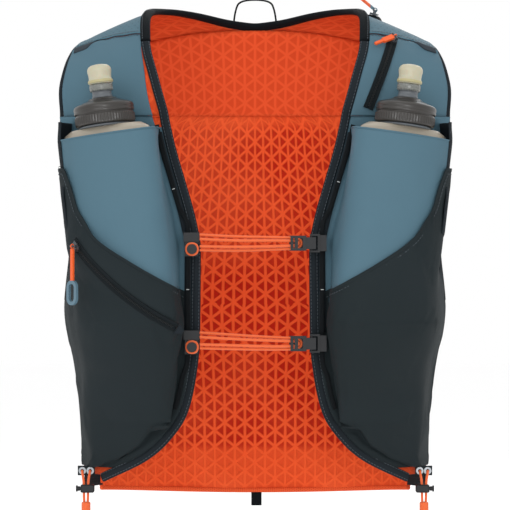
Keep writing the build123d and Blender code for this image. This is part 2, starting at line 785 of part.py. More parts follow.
def bite_valve(side):
    """Soft bite valve over the stem, with a slit in its top."""
    outline = [(5.6, 35.2), (9.8, 35.2), (10.6, 37.5), (10.4, 44.5), (8.6, 49.4), (5.2, 51.4), (0.0, 51.8),
               (0.0, 47.0), (5.6, 45.4)]
    slit = Pos(0, 0, 50.5) * Box(7, 0.8, 5)
    return flask_frame(side) * (turned(outline) - slit)


# ---------------------------------------------------------------- chest straps
PLATE_FRONT = -178.2
CORD_REAR = -179.5  # middle of the strand pair behind
CORD_FRONT = -182.0  # middle of the strand pair in front
TURN_X = 35.0  # where the strands turn back in the buckle
STRAND_START = -46.8
BUCKLE_TURNS = ((CORD_REAR, 4.4), (CORD_FRONT, 1.9))  # depth and half height of each cord's turn
BEND_SHARE = 0.97  # a turn's arc radius over its half height
BIGHT_BEND = BIGHT_R - 0.02


def rail_grip(side, z0, z1):
    """C-shaped shoe that wraps the rail from in front and slides on it."""
    shoe = box(side * 53.4, side * 60.6, -180.0, -176.3, z0, z1)
    for x0, x1, lip in ((53.4, 54.7, 55.8), (60.6, 59.3, 58.2)):
        shoe += box(side * x0, side * x1, -176.3, -173.5, z0, z1)
        shoe += box(side * x1, side * lip, -174.3, -173.5, z0, z1)
    return shoe


def strap_keeper(z):
    """Keeper on one rail: shoe, tongue and the peg that the elastic turns round."""
    shoe = rail_grip(-1, z + 5.2, z + 13.0)
    block = box(-60.6, -47.0, -180.4, -176.6, z + 5.2, z + 13.0)
    plate = box(-59.6, -48.2, PLATE_FRONT, -176.3, z - 7.2, z + 5.3)
    peg = rod((-PEG_X, -177.5, z - 1), (-PEG_X, -183.6, z - 1), 3.0)
    head = rod((-PEG_X, -183.4, z - 1), (-PEG_X, -184.6, z - 1), 4.3)
    return shoe + block + plate + peg + head


def strap_bights(z):
    """Two turns of the elastic cord round the keeper's peg."""
    turns = []
    for y in (CORD_REAR, CORD_FRONT):
        r = BIGHT_R
        far = -PEG_X - r
        points = [(-47.3, y, z - 1 + r), (far, y, z - 1 + r), (far, y, z - 1 - r), (-47.3, y, z - 1 - r)]
        turns.append(tube(points, [BIGHT_BEND, BIGHT_BEND], CORD / 2))
    return turns


def strap_elastic(z, rise):
    """Four strands from the keeper to the buckle, as two doubled cords."""
    cords = []
    far = z + rise
    for y, turn_r in BUCKLE_TURNS:
        r = BIGHT_R
        points = [(STRAND_START, y, z - 1 + r), (TURN_X + turn_r, y, far + turn_r),
                  (TURN_X + turn_r, y, far - turn_r), (STRAND_START, y, z - 1 - r)]
        bend = turn_r * BEND_SHARE
        cords.append(tube(points, [bend, bend], CORD / 2))
    return cords


def strap_buckle(z):
    """Buckle at the free end: bosses for the cord, a rim in front and the hook."""
    rear = box(29.0, 43.5, PLATE_FRONT, -176.6, z - 6.4, z + 6.4)
    boss = rod((TURN_X, -177.5, z), (TURN_X, -180.7, z), 2.9)
    boss += rod((TURN_X, -180.6, z), (TURN_X, -184.0, z), 0.6)
    rim = box(30.0, 43.5, -185.2, -183.6, z - 6.4, z + 6.4) - box(32.4, 40.4, -186, -183, z - 4.2, z + 4.2)
    bridge = box(33.6, 36.4, -185.2, -183.6, z - 5, z + 5)
    web = box(41.4, 43.5, -185.2, -176.6, z - 6.4, z + 6.4)
    arm = box(43.4, 51.6, -184.8, -182.4, z - 5.0, z + 5.0)
    lip = box(50.4, 51.6, -182.5, -177.8, z - 5.0, z + 5.0)
    return rear + boss + rim + bridge + web + arm + lip


def strap_receiver(z):
    """Receiver on the other rail: shoe with two arms that hold the hook's post."""
    shoe = rail_grip(1, z - 6.8, z + 6.8)
    arms = box(46.3, 53.6, -181.0, -178.2, z + 6.2, z + 7.8)
    arms += box(46.3, 53.6, -181.0, -178.2, z - 7.8, z - 6.2)
    links = box(53.1, 55.0, -181.0, -178.2, z - 7.8, z + 7.8)
    post = rod((47.8, -179.6, z - 7.0), (47.8, -179.6, z + 7.0), 1.5)
    return shoe + arms + links + post


# ---------------------------------------------------------------- hem adjusters
LEG = 1.75  # half the space between the cord's two legs in the lock
CORD_DROP_Y = -5.0
HEM_RADII = [1.9, 6.0, LEG - 0.02, LEG - 0.02, 6.0, 1.9]


def hem_cord(side):
    """Elastic hem cord: out of one eyelet, down through the lock, and back to the other."""
    x, y, z = side * HEM_X, HEM_Y, HEM_Z
    low_y = y + CORD_DROP_Y
    leg = [(-3.4, y - 1.4, z), (-3.1, low_y + 0.6, z - 2.2), (-LEG, low_y, z - 9.5), (-LEG, low_y, z - 30.0)]
    points = [(x + dx, py, pz) for dx, py, pz in leg] + [(x - dx, py, pz) for dx, py, pz in leg[::-1]]
    return tube(points, HEM_RADII, HEM_CORD / 2)


def hem_lock(side):
    """Cord lock body, with a slot for both legs and a bore for its button."""
    x, y, z = side * HEM_X, HEM_Y + CORD_DROP_Y, HEM_Z - 15.0
    body = Pos(x - side * 1.3, y, z) * fillet(Box(12.0, 8.6, 7.0).edges(), 1.6)
    slot = Pos(x, y, z) * SlotOverall(2 * LEG + 3.2, 3.2)
    slot = Pos(0, 0, -5) * extrude(slot, 10)
    bore = rod((x - side * 6.1, y, z), (x + side * 8, y, z), 2.3)
    return body - slot - bore


def hem_button(side):
    """Sprung button of the cord lock, slotted for the cord."""
    x, y, z = side * HEM_X, HEM_Y + CORD_DROP_Y, HEM_Z - 15.0
    stem = rod((x - side * 3.9 + side * 1.2, y, z), (x + side * 7.4, y, z), 2.0)
    head = rod((x + side * 7.2, y, z), (x + side * 8.6, y, z), 2.7)
    shaft = stem + head
    slot = box(x - side * 3.3, x + side * 5.2, y - 1.45, y + 1.45, z - 4, z + 4)
    rear = rod((x - side * 4.3, y, z), (x - side * 3.5, y, z), 2.0)
    button = (shaft - slot) + rear
    for k in (-1, 1):
        button += box(x - side * 3.6, x + side * 5.4, y + k * 1.45, y + k * 1.9, z - 0.6, z + 0.6)
    return button


def hem_toggle(side):
    """End bead that hides the bottom of the cord's loop and is pulled on."""
    x, y, z = side * HEM_X, HEM_Y + CORD_DROP_Y, HEM_Z - 30.0
    bead = Pos(x, y, z + 3.0 - 4.2) * fillet(Cylinder(3.9, 9.4).edges(), 1.2)
    room = Pos(x, y, z + 4.0 - 2.9) * Box(2 * LEG + 2.7, 2.7, 8.6)
    return bead - room


def hem_patch(side):
    """Webbing patch that carries a pair of eyelets at the hem."""
    x, y, z = side * HEM_X, HEM_Y, HEM_Z
    patch = box(x - 7.5, x + 7.5, y, y + 1.2, z - 4.0, z + 4.3)
    for dx in (-3.4, 3.4):
        patch -= rod((x + dx, y - 1, z), (x + dx, y + 3, z), 2.8)
    return patch


def hem_eyelets():
    """Metal eyelets in the hem patches, one for each end of the hem cords."""
    solids = []
    for side in (-1, 1):
        for dx in (-3.4, 3.4):
            x = side * HEM_X + dx
            barrel = rod((x, HEM_Y + 1.5, HEM_Z), (x, HEM_Y - 0.2, HEM_Z), 2.7)
            flange = rod((x, HEM_Y - 0.2, HEM_Z), (x, HEM_Y - 0.9, HEM_Z), 3.2)
            hole = rod((x, HEM_Y + 3, HEM_Z), (x, HEM_Y - 3, HEM_Z), 1.5)
            solids.append(barrel + flange - hole)
    return solids


def main():
    """Build and write every sub-part."""
    save("back_panel", back_panel())
    save("back_bag", back_bag())
    save("back_stash_pocket", back_stash_pocket())
    for name, side in (("right", -1), ("left", 1)):
        save(f"shoulder_strap_{name}", shoulder_strap(side))
        save(f"front_lining_{name}", front_lining(side))
        save(f"side_panel_{name}", side_panel(side))
        save(f"flask_sleeve_{name}", flask_sleeve(side))
        save(f"lower_pocket_{name}", lower_pocket(side))
        save(f"front_binding_{name}", front_binding(side))
        save(f"flask_bag_{name}", flask_bag(side))
        save(f"flask_cap_{name}", flask_cap(side), flask_seal(side))
        save(f"flask_stem_{name}", flask_stem(side))
        save(f"bite_valve_{name}", bite_valve(side))
        save(f"hem_cord_{name}", hem_cord(side))
        save(f"hem_lock_{name}", hem_lock(side))
        save(f"hem_button_{name}", hem_button(side))
        save(f"hem_toggle_{name}", hem_toggle(side))
    save("neck_binding", neck_binding())
    armholes = [*armhole_binding(-1), *armhole_binding(1), underarm_binding(-1), underarm_binding(1)]
    save("armhole_bindings", *armholes)
    save("hem_binding", hem_binding())
    save("strap_rails", strap_rail(-1), strap_rail(1))
    save("hang_loop", hang_loop())
    save("hem_tab", hem_tab(), hem_patch(-1), hem_patch(1))
    save("hem_eyelets", *hem_eyelets())
    save("zip_tapes", *[zip_band(name, 0.6, 4.3) for name in ZIP_LINES])
    for name in ZIP_LINES:
        save(f"{name}_zip_slider", zip_slider(name))
    save("side_zip_pull", side_pull())
    save("shoulder_zip_pull", shoulder_pull())
    save("back_zip_pull", back_pull())
    for name, z in (("upper", UPPER_Z), ("lower", LOWER_Z)):
        save(f"{name}_keeper", strap_keeper(z))
        save(f"{name}_bights", *strap_bights(z))
        rise = BUCKLE_RISE[name]
        save(f"{name}_elastic", *strap_elastic(z, rise))
        save(f"{name}_buckle", strap_buckle(z + rise))
        save(f"{name}_receiver", strap_receiver(z + rise))
    print("a flask lifts, in mm:", FLASK_TRAVEL)
    print("an unhooked strap swings about the upright at x, in mm:", SWING_X)
    print("arc radii in mm, hang loop:", HANG_LOOP_RADII)
    print("arc radii in mm, hem cords:", HEM_RADII)
    print("arc radii in mm, turns round the keeper's peg:", BIGHT_BEND)
    print("arc radii in mm, turns in the buckle:", [turn_r * BEND_SHARE for _, turn_r in BUCKLE_TURNS])


main()
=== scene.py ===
"""Running vest with two soft flasks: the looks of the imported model.

Shapes are worked out in millimetres from the same torso and shoulder tables as the CAD
source, and turned into metres when a mesh is made. "right" is the wearer's right, x < 0.
"""

from math import asin, atan2, cos, degrees, exp, hypot, pi, radians, sin

import bpy
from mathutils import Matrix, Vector, noise


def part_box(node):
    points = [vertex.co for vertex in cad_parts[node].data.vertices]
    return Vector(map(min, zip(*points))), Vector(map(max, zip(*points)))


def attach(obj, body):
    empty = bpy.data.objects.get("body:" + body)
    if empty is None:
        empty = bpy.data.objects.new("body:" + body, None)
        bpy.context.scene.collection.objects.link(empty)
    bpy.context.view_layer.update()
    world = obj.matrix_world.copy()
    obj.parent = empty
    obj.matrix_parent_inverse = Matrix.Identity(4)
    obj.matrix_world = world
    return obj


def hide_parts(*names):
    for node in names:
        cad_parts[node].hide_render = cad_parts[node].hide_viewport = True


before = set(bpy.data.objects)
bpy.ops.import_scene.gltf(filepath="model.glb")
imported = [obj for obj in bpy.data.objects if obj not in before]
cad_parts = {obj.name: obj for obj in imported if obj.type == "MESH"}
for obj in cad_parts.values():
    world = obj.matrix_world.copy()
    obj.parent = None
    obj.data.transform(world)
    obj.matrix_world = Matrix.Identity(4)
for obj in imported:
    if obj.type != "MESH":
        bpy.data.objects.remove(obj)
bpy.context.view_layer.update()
MM = 0.001
SIDES = (("right", -1), ("left", 1))
FRONTWARD, BACKWARD = Vector((0, -1, 0)), Vector((0, 1, 0))

# ---------------------------------------------------------------- shape tables, as in the CAD
CHEST_Y = -80.0
SHOULDER_Y = -75.0
SHOULDER_Z = -110.0
ROUNDNESS = 2.6
HALF_WIDTH = [(-110, 187), (-154, 176), (-195, 168), (-237, 163), (-271, 163), (-331, 154), (-372, 149),
              (-445, 148)]
FRONT_DEPTH = [(-110, 76), (-154, 84), (-195, 87), (-271, 90), (-350, 88), (-445, 84)]
BACK_DEPTH = [(-110, 90), (-200, 94), (-300, 92), (-445, 90)]
OPENING = [(-110, 73), (-140, 66), (-165, 58.7), (-203, 48.5), (-222, 45.4), (-301, 46), (-335, 49.7),
           (-365, 57), (-390, 74), (-404, 90), (-424, 128)]
FRONT_EDGE = [(-110, 60.4), (-154, 65), (-195, 68.5), (-237, 76), (-262, 83), (-275, 88), (-445, 88)]
BACK_EDGE = [(-110, 37.7), (-154, 44), (-195, 52), (-237, 61), (-262, 64), (-445, 64)]
NECK_X = [(90, 73), (67.5, 82.3), (45, 90), (22.5, 91), (5, 88), (-10, 80), (-22, 64), (-32, 42), (-38, 22),
          (-41, 0)]
NECK_R = [(90, 80), (67.5, 84), (45, 88), (22.5, 90), (5, 91), (-10, 95), (-22, 102), (-32, 109),
          (-41, 115)]
CLOTH_X = [(90, 82.5), (67.5, 92), (45, 99.5), (22.5, 100), (5, 97.5), (-10, 91), (-22, 77), (-32, 59),
           (-38, 43), (-42, 28), (-46, 2)]
ARM_X = [(90, 168), (67.5, 169.5), (45, 166), (22.5, 160), (0, 153), (-22.5, 147), (-45, 139), (-67.5, 132),
         (-90, 128)]
ARM_R = [(90, 47), (67.5, 52), (45, 57), (22.5, 61), (0, 64), (-22.5, 70), (-45, 77), (-67.5, 75),
         (-90, 70)]
SWEEP = [(90, 1.8), (45, 1.4), (0, 1.1), (-20, 1.5), (-41, 2.2), (-90, 2.2)]
BACK_MIDDLE_R = [(-41, 115), (-50, 107), (-66, 95), (-90, 85)]
BAG_WIDTH = [(-62, 66), (-100, 88), (-150, 108), (-230, 116), (-330, 116), (-400, 110), (-432, 102)]
BAG_FULL = [(-62, 14), (-80, 23), (-120, 36), (-200, 46), (-300, 48), (-380, 34), (-415, 16), (-432, 5)]
POCKET_FULL = [(-286, 1.0), (-310, 0.8), (-340, 0.5), (-380, 0.24), (-412, 0.05)]
RAIL_STRIP = [(-122, 1.0), (-135, 5.9), (-165, 8.8)]
FLASK_AT = (126.5, -178.8, -119.0)
FLASK_LEAN = (7.0, 3.0, 22.0)
FLASK_SIZE = (43.5, 22.5)
BINDING = 8.0
SEAM_ROOM = 1.3
EDGE_INSET = 6.6  # degrees from the armhole's edge to the end of a stretched row


# ---------------------------------------------------------------- shape functions
def along(table, place):
    """Smooth value at a place, from (place, value) pairs in falling order of place."""
    if place >= table[0][0]:
        return table[0][1]
    if place <= table[-1][0]:
        return table[-1][1]
    steps = [(b[1] - a[1]) / (b[0] - a[0]) for a, b in zip(table, table[1:])]

    def slope(k):
        if k == 0 or k == len(table) - 1:
            return steps[min(k, len(steps) - 1)]
        before, after = steps[k - 1], steps[k]
        return 0 if before * after <= 0 else 2 * before * after / (before + after)

    k = next(i for i in range(len(steps)) if table[i + 1][0] <= place)
    (p0, v0), (p1, v1) = table[k], table[k + 1]
    span = p1 - p0
    t = (place - p0) / span
    return (v0 * (1 + 2 * t) * (1 - t) ** 2 + slope(k) * span * t * (1 - t) ** 2
            + v1 * t * t * (3 - 2 * t) - slope(k + 1) * span * t * t * (1 - t))


def smooth(low, high, value):
    """0 below low, 1 above high, and a smooth step between."""
    t = min(1.0, max(0.0, (value - low) / (high - low)))
    return t * t * (3 - 2 * t)


def torso(side, angle, z, lift, back=False):
    """Point on the torso row at height z: angle 0 is the middle, 90 the side."""
    wide = along(HALF_WIDTH, z) + lift
    deep = along(BACK_DEPTH if back else FRONT_DEPTH, z) + lift
    power = 2 / ROUNDNESS
    y = deep * cos(radians(angle)) ** power if angle < 90 else 0.0
    return Vector((side * wide * sin(radians(angle)) ** power, CHEST_Y + (y if back else -y), z))


def torso_normal(side, angle, z, back=False):
    """Direction straight out of the torso row."""
    power = 2 - 2 / ROUNDNESS
    x = side * sin(radians(angle)) ** power / along(HALF_WIDTH, z)
    y = max(0.0, cos(radians(angle))) ** power / along(BACK_DEPTH if back else FRONT_DEPTH, z)
    return Vector((x, y if back else -y, 0)).normalized()


def round_torso(side, angle, z, lift):
    """Torso point at an angle that runs on past the side to the back (180)."""
    return torso(side, 180 - angle if angle > 90 else angle, z, lift, back=angle > 90)


def round_normal(side, angle, z):
    """Direction straight out at such an angle."""
    return torso_normal(side, 180 - angle if angle > 90 else angle, z, back=angle > 90)


def angle_at(x, z, lift=0.0):
    """Row angle whose point lies x from the middle."""
    share = min(1.0, abs(x) / (along(HALF_WIDTH, z) + lift))
    return degrees(asin(share ** (ROUNDNESS / 2)))


def front_angle(z, share, extra=0.0):
    """Row angle at a share of the way from the opening's binding, and extra past it, to the armhole's."""
    first = angle_at(past_opening(z, BINDING - LAP) + extra, z)
    return first + (along(FRONT_EDGE, z) - ARM_LAP - first) * share


def shoulder(side, turn, x, lift):
    """Point over the shoulder at an angle of turn and x from the middle."""
    inner, outer = along(NECK_X, turn), along(ARM_X, turn)
    share = max(0.0, (x - inner) / (outer - inner))
    drop = (along(NECK_R, turn) - along(ARM_R, turn)) * share ** along(SWEEP, turn)
    reach = along(NECK_R, turn) - drop + lift
    t = radians(turn)
    return Vector((side * x, SHOULDER_Y - reach * sin(t), SHOULDER_Z + reach * cos(t)))


def shoulder_out(turn):
    """Direction straight out from the shoulder axis."""
    t = radians(turn)
    return Vector((0, -sin(t), cos(t)))


def upper_back(turn, x, lift):
    """Point on the back below the neck, at an angle of turn and x either side."""
    share = abs(x) / along(ARM_X, turn)
    middle, edge = along(BACK_MIDDLE_R, turn), along(ARM_R, turn)
    reach = middle - (middle - edge) * share ** 2.2 + lift
    t = radians(turn)
    return Vector((x, SHOULDER_Y - reach * sin(t), SHOULDER_Z + reach * cos(t)))


LAP = 1.5  # how far cloth runs under the binding of the opening
ARM_LAP = 2.2  # degrees from the armhole's edge to the cloth that its binding holds


def opening_slope(z):
    """How fast the front opening widens with height."""
    return hypot(1, (along(OPENING, z - 1) - along(OPENING, z + 1)) / 2)


def past_opening(z, inset):
    """Distance from the middle of a point that is inset from the front opening, along the cloth."""
    return along(OPENING, z) + inset * opening_slope(z)


def flask_axes(side):
    """Origin, across, forward and up directions of a flask, at the base of its cap."""
    tilt, pitch, yaw = (radians(v) for v in FLASK_LEAN)
    up = Vector((side * sin(tilt), sin(pitch), cos(tilt))).normalized()
    across = Vector((cos(yaw), side * sin(yaw), 0))
    across = (across - up * across.dot(up)).normalized()
    x, y, z = FLASK_AT
    return Vector((side * x, y, z)), across, up.cross(across), up


def on_flask(side, u, v, w):
    """Point u across, v back and w up a flask."""
    origin, across, rear, up = flask_axes(side)
    return origin + across * u + rear * v + up * w


def hull_chain(points):
    """One side of the hull of points that are sorted by x."""
    kept = []
    for p in points:
        while len(kept) > 1:
            a, b = kept[-2], kept[-1]
            if (b.x - a.x) * (p.y - a.y) - (b.y - a.y) * (p.x - a.x) > 0:
                break
            kept.pop()
        kept.append(p)
    return kept


def hull_front(points, first, last):
    """Forward side (-Y) of the hull of some points, from one of its corners to another."""
    row = sorted(points, key=lambda q: (q.x, q.y))
    outline = hull_chain(row)[:-1] + hull_chain(row[::-1])[:-1]
    start = min(range(len(outline)), key=lambda k: (outline[k] - first).length)
    outline = outline[start:] + outline[:start]
    end = min(range(len(outline)), key=lambda k: (outline[k] - last).length)
    return outline[:end + 1]


def run_lengths(points):
    """Length of a line up to each of its points."""
    lengths = [0.0]
    for a, b in zip(points, points[1:]):
        lengths.append(lengths[-1] + (b - a).length)
    return lengths


def resample(points, count):
    """The same line with evenly spaced points."""
    lengths = run_lengths(points)
    row = []
    i = 0
    for k in range(count):
        want = lengths[-1] * k / (count - 1)
        while i < len(points) - 2 and lengths[i + 1] < want:
            i += 1
        t = (want - lengths[i]) / max(1e-9, lengths[i + 1] - lengths[i])
        row.append(points[i].lerp(points[i + 1], min(1.0, t)))
    return row


def grid(levels, columns, point):
    """Rows of points, from point(u, t) at shares u across and t down."""
    return [[point(k / (columns - 1), j / (levels - 1)) for k in range(columns)] for j in range(levels)]


def fade(share, low, high):
    """1 in the middle, and 0 at shares 0 and 1; it rises up to low and falls from high."""
    return smooth(0.0, low, share) * smooth(1.0, high, share)


def relax(points, passes):
    """Round the corners of a line, its ends held."""
    for _ in range(passes):
        middle = [(a + b * 2 + c) * 0.25 for a, b, c in zip(points, points[1:], points[2:])]
        points = [points[0]] + middle + [points[-1]]
    return points


def stretched_row(z, room, count, strip=None, base=2.9):
    """Left-hand row of cloth pulled tight round a flask at height z, from the rail to the side."""
    strip = along(RAIL_STRIP, z) if strip is None else strip
    first_angle = angle_at(past_opening(z, BINDING + SEAM_ROOM) + strip, z)
    last_angle = along(FRONT_EDGE, z) - EDGE_INSET
    origin, _, _, up = flask_axes(1)
    low = max(z, -280.0)
    middle = origin + up * ((low - origin.z) / up.z)
    share = along(POCKET_FULL, z)
    rest = torso(1, angle_at(middle.x, z), z, 2.0).y
    wide = (FLASK_SIZE[0] + room) * (0.75 + 0.25 * share)
    deep = (FLASK_SIZE[1] + room) * share
    centre_y = middle.y * share + rest * (1 - share)
    yaw = radians(FLASK_LEAN[2])
    points = [torso(1, first_angle + k / 20 * (last_angle - first_angle), z, base) for k in range(21)]
    first, last = points[0], points[-1]
    for k in range(72):
        t = 2 * pi * k / 72
        u, v = wide * cos(t), deep * sin(t)
        x = middle.x + u * cos(yaw) - v * sin(yaw)
        points.append(Vector((x, centre_y + u * sin(yaw) + v * cos(yaw), z)))
    return resample(relax(resample(hull_front(points, first, last), 81), 16), count)


# ---------------------------------------------------------------- curved zips, as in the CAD

def circle_through(a, b, c):
    """Centre, axis and radius of the circle through three points."""
    ab, ac = b - a, c - a
    axis = ab.cross(ac)
    to_centre = (axis.cross(ab) * ac.dot(ac) + ac.cross(axis) * ab.dot(ab)) / (2 * axis.dot(axis))
    return a + to_centre, axis.normalized(), to_centre.length


def pocket_point(x, z, off):
    """Point off the right lower pocket at a distance x from the middle, as in the CAD."""
    row = stretched_row(z, 6.3, 61, strip=8.8)
    moved = []
    for k, p in enumerate(row):
        t = (row[min(k + 1, 60)] - row[max(k - 1, 0)]).normalized()
        moved.append(p + Vector((t.y, -t.x, 0)) * (1.6 + off))
    best = min(moved, key=lambda p: abs(p.x - x))
    return Vector((-best.x, best.y, z))


def zip_arc(name):
    """Centre, axis, radius, first direction and whole angle of a curved zip."""
    if name == "side":
        line = [pocket_point(152, -219, 1.9), pocket_point(98, -271, 3.1), pocket_point(66, -289, 4.9)]
    elif name == "shoulder":
        line = [shoulder(1, 38, 119, 5.7), shoulder(1, 62, 110, 5.8), shoulder(1, 85, 97, 5.7)]
    else:
        line = [shoulder(1, -4, 104, 5.6), shoulder(1, -22, 109, 5.8), shoulder(1, -39, 111, 5.8)]
    centre, axis, radius = circle_through(*line)
    first = (line[0] - centre).normalized()
    last = (line[2] - centre).normalized()
    whole = degrees(atan2(axis.dot(first.cross(last)), first.dot(last))) % 360
    return centre, axis, radius, first, whole


def zip_point(arc, share):
    """Point on a zip's line, its direction, and the direction off the cloth."""
    centre, axis, radius, first, whole = arc
    t = radians(whole * share)
    out = first * cos(t) + axis.cross(first) * sin(t)
    return centre + out * radius, axis.cross(out), out


# ---------------------------------------------------------------- meshes
def placed(name, data):
    """New object in the scene."""
    obj = bpy.data.objects.new(name, data)
    bpy.context.scene.collection.objects.link(obj)
    return obj


def new_piece(name, points, faces, uvs, body, looks, replaces=()):
    """Mesh piece from points in millimetres, riding on a body."""
    mesh = bpy.data.meshes.new(name)
    mesh.from_pydata([p * MM for p in points], [], faces)
    if uvs is not None:
        layer = mesh.uv_layers.new(name="UVMap")
        flat = []
        for loop in mesh.loops:
            flat.extend(uvs[loop.vertex_index])
        layer.data.foreach_set("uv", flat)
    mesh.validate()
    obj = placed(name, mesh)
    for face in mesh.polygons:
        face.use_smooth = True
    for look in looks if isinstance(looks, list) else [looks]:
        mesh.materials.append(LOOK[look])
    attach(obj, body)
    if replaces:
        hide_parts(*replaces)
    return obj


def quads(levels, count, wrap=True, ring=False, base=0):
    """Faces between rows of points: wrap closes each row, ring joins the last row to the first."""
    faces = []
    for j in range(levels if ring else levels - 1):
        here = base + j * count
        there = base + (j + 1) % levels * count
        for i in range(count if wrap else count - 1):
            n = (i + 1) % count
            faces.append((here + i, here + n, there + n, there + i))
    return faces


def end_caps(levels, count, base=0):
    """Faces over the first and the last of some rings."""
    last = base + (levels - 1) * count
    return [tuple(range(base, base + count))[::-1], tuple(range(last, last + count))]


def grid_data(rows, u_middle=None):
    """Points, faces and real-length UVs (metres) of a grid of rows."""
    count = len(rows[0])
    across = run_lengths(rows[len(rows) // 2])
    zero = 0 if u_middle is None else across[u_middle]
    down = run_lengths([row[count // 2] for row in rows])
    uvs = [((a - zero) * MM, -d * MM) for d in down for a in across]
    return [p for row in rows for p in row], quads(len(rows), count, wrap=False), uvs


def outward_faces(points, faces, out_hint):
    """Turn the faces so that the middle one looks along out_hint."""
    a, b, c, d = faces[len(faces) // 2]
    normal = (points[c] - points[a]).cross(points[d] - points[b])
    return faces if normal.dot(out_hint) > 0 else [f[::-1] for f in faces]


def thicken(obj, thickness, inner_material=0):
    """Give a sheet its thickness, inward from its face."""
    solid = obj.modifiers.new("thickness", "SOLIDIFY")
    solid.thickness = thickness * MM
    solid.offset = -1
    solid.use_even_offset = True
    solid.use_quality_normals = True
    solid.material_offset = inner_material
    solid.material_offset_rim = 0
    return obj


def cloth_piece(name, rows, out_hint, thickness, looks, replaces=(), u_middle=None, settle=None):
    """Sheet of cloth from rows of points on its outer face; settle holds what simulate is told."""
    points, faces, uvs = grid_data(rows, u_middle)
    faces = outward_faces(points, faces, out_hint)
    obj = new_piece(name, points, faces, uvs, "vest", looks, replaces)
    declare_cut(rows)
    if settle:
        simulate(obj, rim_indices(len(rows), len(rows[0])), *settle)
    return thicken(obj, thickness, 1 if isinstance(looks, list) else 0)


def declare_cut(rows):
    """Width and length in metres that a panel's rows unroll to; they are worked out and not used."""
    width = max(run_lengths(row)[-1] for row in rows) * MM
    length = max(run_lengths(line)[-1] for line in zip(*rows)) * MM


def tape_piece(name, stations, section, look, replaces=(), closed=False):
    """Strip along stations of (point, across, out), with a closed section of (across, out) points."""
    count, levels = len(section), len(stations)
    runs = run_lengths([p for p, _, _ in stations])
    girths = run_lengths([Vector(corner) for corner in section])
    points = [p + across * a + out * o for p, across, out in stations for a, o in section]
    uvs = [(girth * MM, run * MM) for run in runs for girth in girths]
    faces = quads(levels, count, ring=closed)
    if not closed:
        faces += end_caps(levels, count)
    start = levels // 2 * count
    centre = sum(points[start:start + count], Vector()) / count
    a, b, c, d = (points[k] for k in faces[start])
    if (c - a).cross(d - b).dot((a + b) / 2 - centre) < 0:
        faces = [face[::-1] for face in faces]
    return new_piece(name, points, faces, uvs, "vest", look, replaces)


def flat_section(width, low, high, steps=7, bulge=0.0):
    """Rounded section from 0 to width across and from low to high out."""
    middle, half = (low + high) / 2, (high - low) / 2
    r = min(half, width / 2)
    section = []
    for centre, first in ((width - r, pi / 2), (r, -pi / 2)):
        for k in range(steps):
            t = first - pi * k / (steps - 1)
            section.append((centre + r * cos(t), middle + half * sin(t)))
    return section + [(r + (width - 2 * r) * k / 4, high + bulge * sin(pi * k / 4)) for k in range(1, 4)]


def edge_stations(points, outs):
    """Stations of a strip: across is square to the path and to the outward direction."""
    stations = []
    for k, p in enumerate(points):
        tangent = (points[min(len(points) - 1, k + 1)] - points[max(0, k - 1)]).normalized()
        out = (outs[k] - tangent * outs[k].dot(tangent)).normalized()
        stations.append((p, out.cross(tangent), out))
    return stations


def shifted(stations, across, out=0.0, flip=1):
    """Stations moved across and out, turned round when flip is -1."""
    return [(p + a * flip * across + o * out, a * flip, o) for p, a, o in stations]


def lathe(name, side, profile, body, look, segments=72, ribs=None, replaces=()):
    """Turned piece on a flask's axis from (radius, height) points; ribs(radius, height, k) adds to it."""
    points, uvs = [], []
    for radius, height in profile:
        for i in range(segments):
            t = 2 * pi * i / segments
            r = radius + (ribs(radius, height, i) if ribs else 0)
            points.append(on_flask(side, r * cos(t), r * sin(t), height))
            uvs.append((t * radius * MM, height * MM))
    faces = quads(len(profile), segments)
    ends = end_caps(len(profile), segments)
    faces += [face for face, (radius, _) in zip(ends, (profile[0], profile[-1])) if radius > OPEN_RADIUS]
    return new_piece(name, points, faces, uvs, body, look, replaces)


BAR_RINGS = ((-1, 0.55), (-0.8, 0.9), (0, 1.0), (0.8, 0.9), (1, 0.55))  # place on a bar, share of its width
OPEN_RADIUS = 0.2  # a turned profile that ends nearer its axis needs no cap


def small_bars(name, places, look, body="vest"):
    """Many small rounded bars as one piece: places hold (centre, along, out, length, width, height)."""
    points, faces = [], []
    for centre, direction, out, length, width, height in places:
        across = out.cross(direction).normalized()
        base = len(points)
        for share, scale in BAR_RINGS:
            for k in range(6):
                t = 2 * pi * k / 6
                offset = across * (cos(t) * width / 2 * scale) + out * (sin(t) * height / 2 * scale)
                points.append(centre + direction * (share * length / 2) + offset)
        faces += quads(len(BAR_RINGS), 6, base=base) + end_caps(len(BAR_RINGS), 6, base)
    return new_piece(name, points, faces, None, body, look)


def stitches(name, line, outs, pitch=3.0, length=2.0):
    """Row of stitches along a line."""
    places = []
    count = max(2, int(run_lengths(line)[-1] / pitch))
    even = resample(line, count * 2 + 1)
    span = (len(outs) - 1) / (count * 2)
    for k in range(count):
        a, centre, b = even[2 * k:2 * k + 3]
        out = outs[int((2 * k + 1) * span)]
        direction = (b - a).normalized()
        out = (out - direction * out.dot(direction)).normalized()
        places.append((centre + out * 0.1, direction, out, length, 0.55, 0.5))
    return small_bars(name, places, "stitch")


# ---------------------------------------------------------------- materials
def linear(r, g, b, shade=1.0):
    """Linear colour from display values of 0 to 255, times a shade."""
    parts = []
    for v in (r, g, b):
        v /= 255
        parts.append(shade * (v / 12.92 if v < 0.04045 else ((v + 0.055) / 1.055) ** 2.4))
    return (*parts, 1.0)


